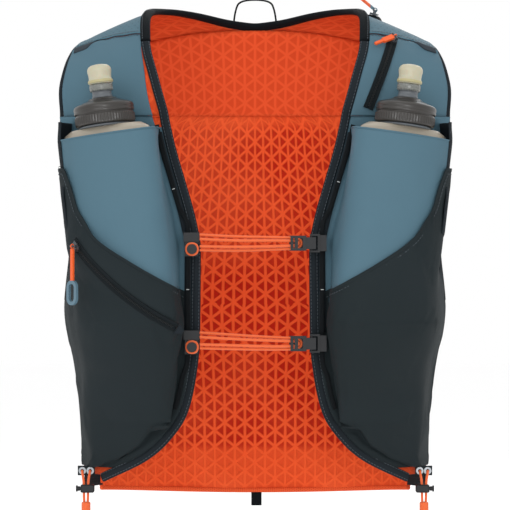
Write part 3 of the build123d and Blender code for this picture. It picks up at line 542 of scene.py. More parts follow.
class Finish:
    """A material and the nodes that are being added to it."""

    def __init__(self, name, colour, roughness, shade=0.8, **sockets):
        self.material = bpy.data.materials.new(name)
        self.material.use_nodes = True
        self.nodes = self.material.node_tree.nodes
        self.links = self.material.node_tree.links
        self.shader = self.nodes["Principled BSDF"]
        self.shade = shade
        self.colour = linear(*colour, shade)
        self.shader.inputs["Base Color"].default_value = self.colour
        self.shader.inputs["Roughness"].default_value = roughness
        for socket, value in sockets.items():
            self.shader.inputs[socket.replace("_", " ")].default_value = value
        self.material.diffuse_color = self.colour

    def node(self, kind, *inputs, **values):
        """New node, with its first inputs from numbers or from other nodes' outputs."""
        made = self.nodes.new(kind)
        for key, value in values.items():
            setattr(made, key, value)
        for socket, value in zip(made.inputs, inputs):
            if isinstance(value, bpy.types.NodeSocket):
                self.links.new(value, socket)
            else:
                socket.default_value = value
        return made

    def math(self, operation, *inputs):
        return self.node("ShaderNodeMath", *inputs, operation=operation).outputs[0]

    def times(self, a, b):
        return self.math("MULTIPLY", a, b)

    def uv(self):
        """Millimetres along a piece's own flat pattern, as two outputs."""
        split = self.node("ShaderNodeSeparateXYZ", self.node("ShaderNodeUVMap", uv_map="UVMap").outputs[0])
        return [self.times(split.outputs[k], 1000.0) for k in (0, 1)]

    def ramp(self, value, low, high, to_low=0.0, to_high=1.0):
        """Smooth change from to_low to to_high while a value goes from low to high."""
        limits = (low, high, to_low, to_high)
        return self.node("ShaderNodeMapRange", value, *limits, interpolation_type="SMOOTHSTEP").outputs[0]

    def noise(self, scale, detail=2.0):
        """Soft noise in the object's own space; scale is in blobs per metre."""
        made = self.node("ShaderNodeTexNoise")
        made.inputs["Scale"].default_value = scale
        made.inputs["Detail"].default_value = detail
        self.links.new(self.node("ShaderNodeTexCoord").outputs["Object"], made.inputs["Vector"])
        return made.outputs["Fac"]

    def position(self, axis):
        """One coordinate of the surface in the object's own frame, in metres."""
        place = self.node("ShaderNodeTexCoord").outputs["Object"]
        return self.node("ShaderNodeSeparateXYZ", place).outputs[axis]

    def chain(self, output, target, last):
        """Link an output to a shader input, with what was linked there before going to last."""
        if target.is_linked:
            self.links.new(target.links[0].from_socket, last)
        self.links.new(output, target)
        return self

    def tint(self, mask, colour):
        """Blend the base colour towards another one where the mask is 1."""
        mix = self.node("ShaderNodeMix", data_type="RGBA")
        mix.inputs[6].default_value = self.colour
        mix.inputs[7].default_value = linear(*colour, self.shade)
        self.links.new(mask, mix.inputs[0])
        return self.chain(mix.outputs[2], self.shader.inputs["Base Color"], mix.inputs[6])

    def bump(self, height, distance):
        """Add a bump of a height in millimetres."""
        made = self.node("ShaderNodeBump")
        made.inputs["Distance"].default_value = distance * MM
        made.inputs["Strength"].default_value = 1.0
        self.links.new(height, made.inputs["Height"])
        return self.chain(made.outputs[0], self.shader.inputs["Normal"], made.inputs["Normal"])

    def weave(self, pitch, depth, slant=0.0):
        """Plain weave or knit from two crossed waves."""
        u, v = self.uv()
        lines = (self.math("ADD", u, self.times(v, slant)), v)
        waves = [self.math("SINE", self.times(line, 2 * pi / pitch)) for line in lines]
        return self.bump(self.times(*waves), depth)

    def dots(self, pitch, radius, colour):
        """Small round perforations in staggered rows."""
        u, v = self.uv()
        row = self.math("FLOOR", self.math("DIVIDE", v, pitch))
        shift = self.times(self.math("MODULO", row, 2.0), pitch / 2)
        squares = []
        for place in (self.math("ADD", u, shift), v):
            off = self.math("SUBTRACT", self.math("FLOORED_MODULO", place, pitch), pitch / 2)
            squares.append(self.times(off, off))
        away = self.math("SQRT", self.math("ADD", *squares))
        return self.tint(self.ramp(away, radius, radius * 1.4, 1.0, 0.0), colour)


RIB_PITCH = (9.3, 7.25)  # across and down between the corners of the back's lattice
RIB_SLANT = hypot(0.5 / RIB_PITCH[0], 0.5 / RIB_PITCH[1])


def lattice_distance(u, v):
    """Millimetres from a point of the flat pattern to the nearest rib of the lattice."""
    a, b = u / RIB_PITCH[0], v / RIB_PITCH[1]
    best = abs(a - round(a)) * RIB_PITCH[0]
    for value in ((a + b) / 2, (b - a) / 2):
        best = min(best, abs(value - round(value)) / RIB_SLANT)
    return best


def lattice_nodes(finish):
    """The same distance as shader nodes."""
    u, v = finish.uv()
    a, b = (finish.math("DIVIDE", place, pitch) for place, pitch in zip((u, v), RIB_PITCH))
    lines = [(a, RIB_PITCH[0])]
    for operation, *pair in (("ADD", a, b), ("SUBTRACT", b, a)):
        lines.append((finish.times(finish.math(operation, *pair), 0.5), 1 / RIB_SLANT))
    best = None
    for value, scale in lines:
        off = finish.math("SUBTRACT", value, finish.math("ROUND", value))
        off = finish.times(finish.math("ABSOLUTE", off), scale)
        best = off if best is None else finish.math("MINIMUM", best, off)
    return best


def make_finishes():
    """Every material, by name."""
    made = {}

    def add(name, *values, **sockets):
        made[name] = Finish(name, *values, **sockets)
        return made[name]

    mesh = add("orange_mesh", (236, 88, 40), 0.7, 0.92, Specular_IOR_Level=0.12)
    away = lattice_nodes(mesh)
    gap = mesh.ramp(away, 1.0, 1.7)
    depth = mesh.times(mesh.position(2), -1.0)
    upper = mesh.ramp(depth, 0.108, 0.118, 0.3, 1.0)
    lower = mesh.ramp(depth, 0.398, 0.408, 1.0, 0.3)
    mesh.tint(mesh.times(mesh.times(gap, upper), lower), (178, 30, 5))
    mesh.tint(mesh.ramp(mesh.noise(9.0), 0.42, 0.72, 0.0, 0.35), (248, 110, 60))
    mesh.bump(mesh.ramp(away, 0.7, 1.6, 1.0, 0.0), 0.5)
    lining = add("orange_lining", (240, 92, 46), 0.7, 0.86, Specular_IOR_Level=0.12)
    lining.tint(lining.times(lining.ramp(lattice_nodes(lining), 0.7, 1.5), 0.45), (206, 52, 14))
    lining.weave(1.1, 0.10)
    smooth_mesh = add("orange_smooth", (240, 96, 50), 0.7, 0.86, Specular_IOR_Level=0.12)
    smooth_mesh.dots(1.7, 0.34, (196, 56, 24)).weave(0.9, 0.08)
    blue = add("blue_fabric", (89, 123, 139), 0.6, 0.71, Specular_IOR_Level=0.15)
    blue.tint(blue.ramp(blue.noise(7.0, 3.0), 0.38, 0.75, 0.0, 0.35), (72, 101, 117))
    blue.weave(0.85, 0.05, 0.5)
    blue.bump(blue.noise(60.0, 2.0), 0.35)
    yoke = add("blue_yoke", (84, 118, 133), 0.6, 0.74, Specular_IOR_Level=0.15)
    yoke.dots(5.2, 0.42, (46, 66, 78)).weave(0.9, 0.06)
    # Dark blue for the shoulder fold and the inner faces of the bag and the flask pocket: painted shade,
    # not a colour of the cloth.
    add("blue_fold", (34, 46, 56), 0.7).weave(0.9, 0.06)
    dark = add("dark_fabric", (40, 49, 52), 0.72, 0.62, Specular_IOR_Level=0.1)
    dark.tint(dark.ramp(dark.noise(6.0, 3.0), 0.4, 0.75, 0.0, 0.5), (47, 56, 61))
    dark.weave(0.8, 0.05, 0.5)
    dark.bump(dark.noise(45.0, 2.0), 0.4)
    side = add("side_fabric", (38, 46, 50), 0.75, 0.65, Specular_IOR_Level=0.1)
    side.dots(2.4, 0.5, (24, 28, 31)).weave(1.2, 0.1)
    add("binding", (38, 44, 49), 0.8, Specular_IOR_Level=0.08).weave(0.9, 0.12)
    add("neck_binding", (16, 21, 25), 0.8, Specular_IOR_Level=0.1).weave(0.9, 0.12)
    add("webbing", (20, 24, 27), 0.7, Specular_IOR_Level=0.12).weave(1.3, 0.2, 0.9)
    add("stitch", (70, 80, 88), 0.6)
    add("bar_tack", (205, 208, 208), 0.5)
    add("zip_tape", (28, 34, 37), 0.75, Specular_IOR_Level=0.1).weave(0.8, 0.1)
    add("zip_coil", (30, 34, 36), 0.45, Specular_IOR_Level=0.25)
    add("zip_slider", (96, 100, 104), 0.32, Metallic=0.85)
    add("metal", (150, 153, 156), 0.28, Metallic=1.0)
    add("pull_grey", (88, 118, 133), 0.5)
    film = add("flask_film", (178, 168, 151), 0.34, 1.0, Transmission_Weight=0.22, Coat_Weight=0.35,
               IOR=1.4)
    film.tint(film.ramp(film.noise(18.0, 3.0), 0.35, 0.7, 0.0, 0.45), (140, 132, 118))
    add("cap_plastic", (46, 42, 38), 0.38, 0.7, Coat_Weight=0.15)
    add("stem_plastic", (98, 103, 108), 0.38)
    add("clear_skirt", (202, 204, 196), 0.2, Transmission_Weight=0.7, IOR=1.4)
    add("silicone", (210, 204, 176), 0.42, 0.66, Subsurface_Weight=0.15, Subsurface_Scale=0.004)
    add("valve_band", (200, 190, 142), 0.45, 0.66)
    cord = add("cord_orange", (240, 100, 32), 0.6, Sheen_Weight=0.2)
    cord.bump(cord.noise(900.0, 1.0), 0.25)
    add("trim_plastic", (30, 32, 35), 0.5, Specular_IOR_Level=0.3)
    for name, axis, place, flip in (("side_pull", 2, -0.2505, False), ("shoulder_pull", 0, 0.1225, True),
                                    ("back_pull", 0, 0.1015, True)):
        pull = add(name, (92, 122, 138), 0.5)
        mask = pull.math("LESS_THAN" if flip else "GREATER_THAN", pull.position(axis), place)
        pull.tint(mask, (242, 96, 30))
    return {name: finish.material for name, finish in made.items()}


LOOK = make_finishes()


# ---------------------------------------------------------------- cloth fields
class Field:
    """Stretched cloth over a flask, as rows cached at even heights."""

    TOP, LOW, STEP = -110.0, -414.0, 4.0
    COUNT = 97

    def __init__(self, room, base):
        self.rows = []
        z = self.TOP
        while z >= self.LOW - self.STEP:
            first = front_angle(z, 0)
            row = stretched_row(z, room, 81, base=base)
            join = angle_at(row[0].x, z)
            lead = [torso(1, first + (join - first) * k / 5, z, base) for k in range(5)]
            edge = along(FRONT_EDGE, z)
            tail = [torso(1, edge - EDGE_INSET + 4.6 * k / 4, z, base) for k in range(1, 5)]
            line = relax(resample(lead + row + tail, 161), 10)
            self.rows.append(resample(line, self.COUNT))
            z -= self.STEP

    def point(self, side, u, z):
        """Point a share u of the way from the binding to the armhole, at height z."""
        j = min(max((self.TOP - z) / self.STEP, 0.0), len(self.rows) - 1.001)
        i = min(max(u, 0.0), 1.0) * (self.COUNT - 1.001)
        j0, i0 = int(j), int(i)
        a, b = (row[i0].lerp(row[i0 + 1], i - i0) for row in self.rows[j0:j0 + 2])
        p = a.lerp(b, j - j0)
        return Vector((side * p.x, p.y, z))

    def out(self, side, u, z):
        """Direction off the cloth."""
        du = self.point(side, min(1.0, u + 0.012), z) - self.point(side, max(0.0, u - 0.012), z)
        dz = self.point(side, u, z + 2) - self.point(side, u, z - 2)
        out = du.cross(dz).normalized()
        return out if out.y < 0 or (abs(out.y) < 0.3 and out.x * side > 0) else -out

    def height_where(self, u, line):
        """Height where a column meets a line given as height by x."""
        z = -240.0
        for _ in range(12):
            z += (line(self.point(1, u, z).x) - z) * 0.6
        return z


SLEEVE_CLOTH = Field(2.7, 2.3)
POCKET_CLOTH = Field(5.2, 3.4)


def folds(p, scale, amount, seed, stretch=(1.0, 1.0, 1.0)):
    """Soft fold height at a point, from smooth noise."""
    q = Vector([c * s for c, s in zip(p, stretch)]) / scale
    return amount * noise.noise(q + Vector((seed, seed * 1.7, seed * 0.3)))


SINK = 0.3  # millimetres that a settling sheet may move inwards
SETTLE_FRAMES = 18
CLOTH = {"vertex_group_mass": "pin", "quality": 6, "mass": 0.12, "tension_stiffness": 12,
         "compression_stiffness": 12, "shear_stiffness": 6, "bending_stiffness": 0.6, "use_pressure": True}


def simulate(obj, pinned, growth, pressure, cap):
    """Let a sheet settle as cloth from its pinned points, moving no point further than cap (mm)."""
    mesh = obj.data
    start = [(v.co.copy(), v.normal.copy()) for v in mesh.vertices]
    group = obj.vertex_groups.new(name="pin")
    group.add(pinned, 1.0, "REPLACE")
    cloth = obj.modifiers.new("settle", "CLOTH")
    for key, value in CLOTH.items():
        setattr(cloth.settings, key, value)
    cloth.settings.shrink_min = cloth.settings.shrink_max = -growth
    cloth.settings.uniform_pressure_force = pressure
    cloth.settings.effector_weights.gravity = 0.0
    cloth.collision_settings.use_collision = False
    scene = bpy.context.scene
    for clock in (scene, cloth.point_cache):
        clock.frame_start = 1
        clock.frame_end = SETTLE_FRAMES
    for frame_number in range(1, SETTLE_FRAMES + 1):
        scene.frame_set(frame_number)
    result = obj.evaluated_get(bpy.context.evaluated_depsgraph_get()).data
    moved = [v.co.copy() for v in result.vertices]
    obj.modifiers.remove(cloth)
    obj.vertex_groups.remove(group)
    for v, (before, out), after in zip(mesh.vertices, start, moved):
        step = after - before
        sunk = step.dot(out) + SINK * MM
        if sunk < 0:
            step -= out * sunk
        if step.length > cap * MM:
            step = step.normalized() * cap * MM
        v.co = before + step
    scene.frame_set(1)


def rim_indices(rows, columns):
    """Vertex numbers round the rim of a grid."""
    inside = range(columns, (rows - 1) * columns)
    return [k for k in range(rows * columns) if k % columns in (0, columns - 1) or k not in inside]


# ---------------------------------------------------------------- back of the vest
HEM_Z = -440.0


def hem_rise(x, z):
    """How much the lower edge of the back is raised towards its sides."""
    return 5.5 * smooth(-400, HEM_Z, z) * (x / 141) ** 2


def back_row(kind, place, columns, lift):
    """Points across the back panel at one turn or level."""
    row = []
    for k in range(columns):
        across = 2 * k / (columns - 1) - 1
        if kind == "turn":
            row.append(upper_back(place, across * (along(ARM_X, place) - 3.0), lift))
        else:
            angle = along(BACK_EDGE, place) - (2.4 if place > -274 else -0.6)
            row.append(torso(1 if across > 0 else -1, abs(across) * angle, place, lift, back=True))
    return row


def back_stations(step):
    """Turns and levels down the back, evenly spaced."""
    stations = []
    turn = -43.0
    while turn > -80:
        stations.append(("turn", turn))
        turn -= step / 1.65
    z = -97.5
    while z > HEM_Z:
        stations.append(("level", z))
        z -= step
    return stations + [("level", HEM_Z)]


def blended_rows(stations, columns, lift):
    """Rows down the back, smoothed where the shoulder meets the torso."""
    rows = []
    for kind, place in stations:
        if kind == "level" and place > -116:
            share = smooth(-94, -116, place)
            level = back_row("level", place, columns, lift)
            turn = degrees(atan2(-(95.0), place - SHOULDER_Z))
            above = back_row("turn", max(-90.0, turn), columns, lift)
            rows.append([Vector((a.x + (b.x - a.x) * share, a.y + (b.y - a.y) * share, place))
                         for a, b in zip(above, level)])
        else:
            rows.append(back_row(kind, place, columns, lift))
    return rows


def back_panel():
    """Lattice mesh back: ribs stand proud towards the wearer."""
    columns = 231
    rows = blended_rows(back_stations(1.45), columns, 0.6)
    points, faces, uvs = grid_data(rows, u_middle=columns // 2)
    faces = outward_faces(points, faces, FRONTWARD)
    raised = []
    for p, (u, v) in zip(points, uvs):
        rib = smooth(1.75, 0.85, lattice_distance(u / MM, v / MM))
        ease = smooth(HEM_Z, -430, p.z)
        wave = folds(p, 46.0, 1.1, 3.0) + folds(p, 130.0, 1.6, 8.0)
        ruffle = sin(p.x / 15.0 + 0.9 * noise.noise(p / 40.0) + (p.z - HEM_Z) / 28)
        wave += 1.6 * smooth(-395, HEM_Z, p.z) * ruffle
        raised.append(p + Vector((0, 1.0 + wave * 0.5 - rib * 0.55 * ease, hem_rise(p.x, p.z))))
    obj = new_piece("back_mesh", raised, faces, uvs, "vest", "orange_mesh", ["back_panel"])
    return thicken(obj, 1.4)


def back_yoke():
    """Smoother knit over the top of the back, on the wearer's side."""
    columns = 61
    rows = blended_rows([s for s in back_stations(3.0) if s[0] == "turn" or s[1] > -105], columns, -0.35)
    kept = [row[6:-6] for row in rows]
    cloth_piece("back_yoke_lining", kept, FRONTWARD, 0.5, "orange_lining", u_middle=24)


BAG_RIM = 4.5  # how far the bag's rim stands off the torso
BAG_SEAM = 0.72  # share of the bag's half width at its side seams


def bag_back(x, z, lift):
    """Point of the back's outer face at x and z."""
    if z > SHOULDER_Z:
        turn = -60.0
        for _ in range(12):
            p = upper_back(turn, x, lift)
            turn -= (p.z - z) * 0.6
        return Vector((x, upper_back(turn, x, lift).y, z))
    p = torso(1 if x >= 0 else -1, angle_at(x, z, lift), z, lift, back=True)
    return Vector((x, p.y, z))


def bag_point(share, z, extra=0.0):
    """Outer face of the back bag: share from -1 to 1 across."""
    x = share * along(BAG_WIDTH, z)
    full = along(BAG_FULL, z) * (1 - abs(share) ** 3.2)
    return Vector((x, bag_back(x, z, BAG_RIM).y + 0.9 + full + extra, z))


def back_bag():
    """Main bag: stretch cloth, gathered at its rim, with a seam down each side panel."""
    def point(u, t):
        share = 2 * u - 1
        z = -62 - 370 * t
        p = bag_point(share, z)
        edge = smooth(1.0, 0.8, abs(share)) * smooth(-62, -80, z) * smooth(-432, -410, z)
        pucker = 0.5 * sin(z / 3.4) * smooth(0.86, 0.97, abs(share)) * smooth(1.0, 0.985, abs(share))
        seam = -1.0 * exp(-((abs(share) - BAG_SEAM) / 0.012) ** 2)
        return p + BACKWARD * (edge * (folds(p, 60.0, 2.2, 5.0) + seam) + pucker)

    # The bag's inner face takes the dark blue of painted shade.
    cloth_piece("back_bag_cloth", grid(110, 85, point), BACKWARD, 0.8, ["blue_fabric", "blue_fold"],
                ["back_bag"], settle=(0.012, 1.2, 3.0))
    for side in (-1, 1):
        line = [bag_point(side * BAG_SEAM, z, 0.3) for z in range(-84, -412, -4)]
        for shift in (-2.2, 2.2):
            row = [p + Vector((shift, -0.25, 0)) for p in line]
            stitches(f"bag_seam_{side}_{shift}", row, [BACKWARD] * len(row), 3.2, 2.1)


def bag_mouth():
    """Elastic binding along the top of the bag."""
    line = [bag_point(2 * k / 40 - 1, -62, 0.2) for k in range(41)]
    stations = shifted(edge_stations(line, [Vector((0, 1, 0.25))] * 41), -4.0)
    tape_piece("bag_mouth_binding", stations, flat_section(6.0, -1.2, 1.0), "binding")


def stash_point(share, z):
    """Outer face of the low pocket that lies on the bag."""
    widths = [(-245, 96), (-275, 100), (-320, 100), (-360, 97), (-395, 92), (-420, 86)]
    fulls = [(-245, 7), (-275, 9), (-320, 8), (-360, 5), (-395, 2), (-420, 0.3)]
    x = share * along(widths, z)
    bag = along(BAG_FULL, z) * (1 - (abs(x) / along(BAG_WIDTH, z)) ** 3.2)
    y = bag_back(x, z, BAG_RIM).y + bag + 2.6 + along(fulls, z) * (1 - share * share)
    return Vector((x, y, z))


def stash_pocket():
    """Stretch pocket across the lower back, with a bound mouth."""
    def point(u, t):
        share = 2 * u - 1
        top = -245 - 9 * (1 - share * share)
        p = stash_point(share, top + (-420 - top) * t)
        inside = smooth(1.0, 0.85, abs(share)) * smooth(0.0, 0.1, t)
        return p + BACKWARD * inside * folds(p, 42.0, 1.8, 11.0, (1, 1, 0.6))

    rows = grid(60, 81, point)
    cloth_piece("stash_pocket_cloth", rows, BACKWARD, 0.7, "dark_fabric",
                ["back_stash_pocket"], settle=(0.015, 0.8, 2.5))
    line = [p + BACKWARD * 0.3 for p in rows[0]]
    stations = shifted(edge_stations(line, [Vector((0, 1, 0.1))] * len(line)), -2.5)
    tape_piece("stash_mouth_binding", stations, flat_section(5.0, -0.9, 0.9), "binding")


# ---------------------------------------------------------------- shoulder straps and fronts
SEAM_IN, SEAM_OUT = 38.0, 25.0  # turn of the shoulder seam at its inner and outer ends


def strap_point(side, turn, share, lift, inset=0.0):
    """Point across a shoulder strap; inset leaves cloth off its inner edge."""
    inner = along(CLOTH_X, turn) + inset - 1.5
    outer = along(ARM_X, turn) - 3.2
    return shoulder(side, turn, inner + share * (outer - inner), lift)


def seam_turn(share):
    """Turn of the shoulder seam across the strap."""
    return SEAM_IN + (SEAM_OUT - SEAM_IN) * share


def wedge_width(side, turn):
    """How far the blue cloth starts off the binding, where the lining shows."""
    return 6.5 * smooth(44, 88, turn) if side < 0 else 0.0


def shoulder_cloth(side, name):
    """Blue cloth over the shoulder, with the folded seam that joins yoke and front."""
    def front(share, t):
        turn = 90 + (seam_turn(share) - 90) * t
        away = abs(turn - seam_turn(share)) * 1.5
        ridge = 1.6 * exp(-((away - 5.0) / 3.4) ** 2) * smooth(0.25, 0.9, share)
        return draped(share, turn, away, 3.9 + ridge - 0.5 * exp(-(away / 2) ** 2))

    def yoke(share, t):
        turn = seam_turn(share) + (-45 - seam_turn(share)) * t
        away = abs(turn - seam_turn(share)) * 1.5
        return draped(share, turn, away, 3.9 + 0.9 * exp(-(away / 5.0) ** 2))

    def draped(share, turn, away, lift):
        p = strap_point(side, turn, share, lift, wedge_width(side, turn))
        soft = fade(share, 0.12, 0.9) * folds(p, 34.0, 0.8, 2.0 + side)
        return p + shoulder_out(turn) * (soft + 0.35 * sin(share * 26 + turn / 7) * exp(-(away / 9) ** 2))

    def folded(u, t):
        share = 0.60 + 0.36 * u
        turn = seam_turn(share) + 1.0 + 6.5 * t * smooth(0.6, 0.82, share)
        return strap_point(side, turn, share, 4.6 + 2.3 * sin(pi * t) * smooth(0.60, 0.75, share))

    up = shoulder_out(60)
    cloth_piece(f"shoulder_front_{name}", grid(62, 49, front), up, 0.9, ["blue_fabric", "orange_lining"],
                [f"shoulder_strap_{name}"])
    cloth_piece(f"shoulder_yoke_{name}", grid(100, 49, yoke), shoulder_out(0), 0.9,
                ["blue_yoke", "orange_lining"])
    for offset, lift in ((-1.6, 4.9), (1.6, 4.0)):
        shares = [0.03 + 0.94 * k / 40 for k in range(41)]
        turns = [seam_turn(share) + offset for share in shares]
        line = [strap_point(side, turn, share, lift, wedge_width(side, turn))
                for turn, share in zip(turns, shares)]
        outs = [shoulder_out(turn) for turn in turns]
        stitches(f"shoulder_seam_{name}_{offset}", line, outs, 2.8, 1.9)
    # The fold takes the dark blue of painted shade.
    cloth_piece(f"shoulder_fold_{name}", grid(9, 25, folded), up, 0.6, "blue_fold")


def lining(side, name):
    """Orange lining inside the strap and the front, one sheet from the yoke to the hem."""
    def front(u, t):
        z = -111 - 307 * t
        angle = front_angle(z, u)
        p = torso(side, angle, z, 1.3)
        return p + torso_normal(side, angle, z) * folds(p, 50.0, 0.25, 6.0)

    strap = grid(50, 33, lambda u, t: strap_point(side, -45 + 135 * t, u, 1.9))
    cloth_piece(f"strap_lining_{name}", strap, shoulder_out(20), 0.9, "orange_lining")
    cloth_piece(f"front_lining_sheet_{name}", grid(90, 33, front), FRONTWARD, 1.0, "orange_lining",
                [f"front_lining_{name}"])


def chest_cloth(side, name):
    """Blue cloth between the strap and the flask pocket, behind the flask."""
    def point(u, t):
        z = -109.9 - 52.0 * t
        lift = 2.1 + 1.8 * smooth(-122, -111, z)
        wedge = wedge_width(side, 90) * smooth(-135, -120, z)
        return torso(side, front_angle(z, u, wedge), z, lift)

    cloth_piece(f"chest_cloth_{name}", grid(26, 41, point), FRONTWARD, 0.9, "blue_fabric")


RAIL_GAP = 4.5  # from the binding of the opening to the middle of a rail
RAIL_BACKING_LIFT = 5.3  # how far the strip behind a rail stands off the torso


def mouth_line(x):
    """Height of the flask pocket's mouth, by distance from the middle."""
    return -120.5 - 11.5 * (x - 78) / 84


def rim_line(x):
    """Height of the lower pocket's slanting top edge, by distance from the middle."""
    table = [(162, -157), (155.7, -174), (150.5, -191), (143.6, -202), (134.6, -215), (107, -235),
             (57, -263), (40, -272)]
    return along(table, x)


def sleeve_cloth(side, name):
    """Blue stretch cloth of the flask pocket, pulled tight over the flask."""
    def point(u, t):
        top = SLEEVE_CLOTH.height_where(u, mouth_line)
        low = POCKET_CLOTH.height_where(u, rim_line) - 14
        z = top + (low - top) * t
        p = SLEEVE_CLOTH.point(side, u, z)
        soft = fade(u, 0.1, 0.94) * smooth(0.0, 0.08, t)
        tight = folds(p, 38.0, 0.55, 12.0 + side, (1.0, 1.0, 0.45)) + folds(p, 15.0, 0.18, 4.0)
        pull = 0.9 * exp(-((u - 0.06) / 0.05) ** 2) * sin(z / 9.0) * smooth(-120, -150, z)
        return p + SLEEVE_CLOTH.out(side, u, z) * (soft * tight + 0.4 * pull)

    def strip(u, t):
        z = -124 - 170 * t
        start = past_opening(z, BINDING - 1.0)
        x = start + (past_opening(z, BINDING) + RAIL_GAP - start) * u
        return torso(side, angle_at(x, z), z, RAIL_BACKING_LIFT)

    columns = 97
    rows = grid(88, columns, point)
    # The pocket's inner face takes the dark blue of painted shade.
    cloth_piece(f"flask_pocket_{name}", rows, FRONTWARD, 0.8, ["blue_fabric", "blue_fold"],
                [f"flask_sleeve_{name}"])
    cloth_piece(f"rail_backing_{name}", grid(70, 6, strip), FRONTWARD, 0.4, "binding")
    rim = [p + Vector((0, 0, 0.2)) for p in rows[0]]
    outs = [SLEEVE_CLOTH.out(side, k / (columns - 1), p.z) for k, p in enumerate(rim)]
    stations = edge_stations(rim, outs)
    upward = 1 if stations[0][1].z > 0 else -1
    tape_piece(f"flask_pocket_hem_{name}", shifted(stations, -0.6, 0.05, upward),
               flat_section(1.5, -0.9, 0.35, 5), "blue_fabric")


def edge_binding(side, name):
    """Dark edge of the flask pocket, turned round the side of the flask to the armhole."""
    columns = 16
    rows = []
    for j in range(80):
        z = -116 - 152 * j / 79
        field = SLEEVE_CLOTH if z > -170 else POCKET_CLOTH
        wide = [abs(field.point(side, 0.5 + k / 160, z).x) for k in range(81)]
        start = wide.index(max(wide))
        while start > 0 and wide[start] > max(wide) - 2.6:
            start -= 1
        row = []
        for k in range(columns):
            u = 0.5 + (start + (80 - start) * k / (columns - 1)) / 160
            p = field.point(side, u, z) + field.out(side, u, z) * 0.75
            row.append(p + Vector((-2.6 * side, 1.5, 0)) * smooth(-134, -116, z))
        rows.append(row)
    for _ in range(5):
        for a, b, c in zip(rows, rows[1:], rows[2:]):
            b[:] = [(p + q * 2 + r) * 0.25 for p, q, r in zip(a, b, c)]
    cloth_piece(f"edge_binding_{name}", rows, Vector((side, 0, 0)), 0.6, "binding",
                ["armhole_bindings"])


def welt(points, p):
    """How far the cloth at p is raised to meet the side zip's tape."""
    near, _, out = min(points, key=lambda station: (station[0] - p).length_squared)
    gap = min(6.5, (near - p).dot(out) - 1.5)
    away = (near - p - out * (near - p).dot(out)).length
    return max(0.0, gap) * smooth(24.0, 4.0, away) * smooth(64.0, 72.0, abs(p.x))


def pocket_cloth(side, name):
    """Dark stretch cloth of the lower pocket, under its slanting seam."""
    arc = zip_arc("side")
    zip_line = [zip_point(arc, k / 50 - 0.02) for k in range(53)]

    def point(u, t):
        top = POCKET_CLOTH.height_where(u, rim_line)
        z = top + (-411.5 - top) * t
        p = POCKET_CLOTH.point(side, u, z)
        slant = p.z * 0.75 + p.x * side * 0.55
        ripple = 0.8 * sin(slant / 11.0 + 2.2 * noise.noise(p / 55.0)) * smooth(0.35, 0.75, t)
        wave = folds(p, 44.0, 1.9, 21.0 + 3 * side, (0.8, 1.0, 1.2)) + folds(p, 19.0, 0.5, 9.0)
        lift = fade(u, 0.08, 0.95) * fade(t, 0.07, 0.94) * (wave + ripple)
        raised = welt(zip_line, p) if side < 0 and z > -310 else 0.0
        return p + POCKET_CLOTH.out(side, u, z) * (lift * (1 - smooth(0.0, 1.5, raised)) + raised)

    columns = 97
    rim, *rest = grid(74, columns, point)
    cloth_piece(f"lower_pocket_cloth_{name}", [rim, *rest], FRONTWARD, 0.8, "dark_fabric",
                [f"lower_pocket_{name}"], settle=(0.010, 0.6, 2.2))
    outs = [POCKET_CLOTH.out(side, k / (columns - 1), p.z) for k, p in enumerate(rim)]
    stations = edge_stations(rim, outs)
    tape_piece(f"pocket_seam_{name}", shifted(stations, -1.6), flat_section(3.2, -0.7, 0.5, 5),
               "dark_fabric")
    down = 1 if stations[0][1].z < 0 else -1
    line = [p for p, _, _ in shifted(stations, 3.4, 0.35, down)]
    stitches(f"pocket_stitch_{name}", line, outs)


def side_panel(side, name):
    """Stretch panel under the arm."""
    def point(u, t):
        z = -277 - 157 * t
        angle = 81.5 + (180 - along(BACK_EDGE, z) + 1.5 - 81.5) * u
        p = round_torso(side, angle, z, 1.5)
        soft = fade(u, 0.12, 0.88) * smooth(-277, -290, z) * smooth(-434, -424, z)
        wave = folds(p, 30.0, 1.6, 31.0) + 0.5 * sin(z / 8.0 + 1.5 * noise.noise(p / 30.0))
        return p + round_normal(side, angle, z) * soft * wave

    cloth_piece(f"side_stretch_{name}", grid(70, 45, point), Vector((side, 0, 0)), 0.9, "side_fabric",
                [f"side_panel_{name}"])


# ---------------------------------------------------------------- bindings
def smooth_line(points, count, passes):
    """Even points along a line, with its corners eased."""
    return relax(resample(points, count), passes)


def stitch_row(name, stations, across, out, pitch=3.0):
    """Stitches along a binding."""
    line = [p for p, _, _ in shifted(stations, across, out)]
    stitches(name, line, [o for _, _, o in stations], pitch)


def neck_binding():
    """Thick black binding round the back of the neck."""
    turns = [44 - 85 * k / 60 for k in range(60)]
    half = [shoulder(1, t, along(NECK_X, t), 2.4) for t in turns]
    outs = [shoulder_out(t) for t in turns]
    other = [Vector((-p.x, p.y, p.z)) for p in half[::-1]]
    points = smooth_line(half + [upper_back(-41, 0, 2.4)] + other, 160, 6)
    stations = edge_stations(points, resample(outs + [shoulder_out(-41)] + outs[::-1], 160))
    stations = shifted(stations, -0.4, 0, 1 if stations[5][1].x > 0 else -1)
    section = flat_section(BINDING + 0.8, -2.6, 2.4, 9, 0.3)
    tape_piece("neck_band", stations, section, "neck_binding", ["neck_binding"])
    stitch_row("neck_band_stitch", stations, BINDING - 0.9, 2.45)


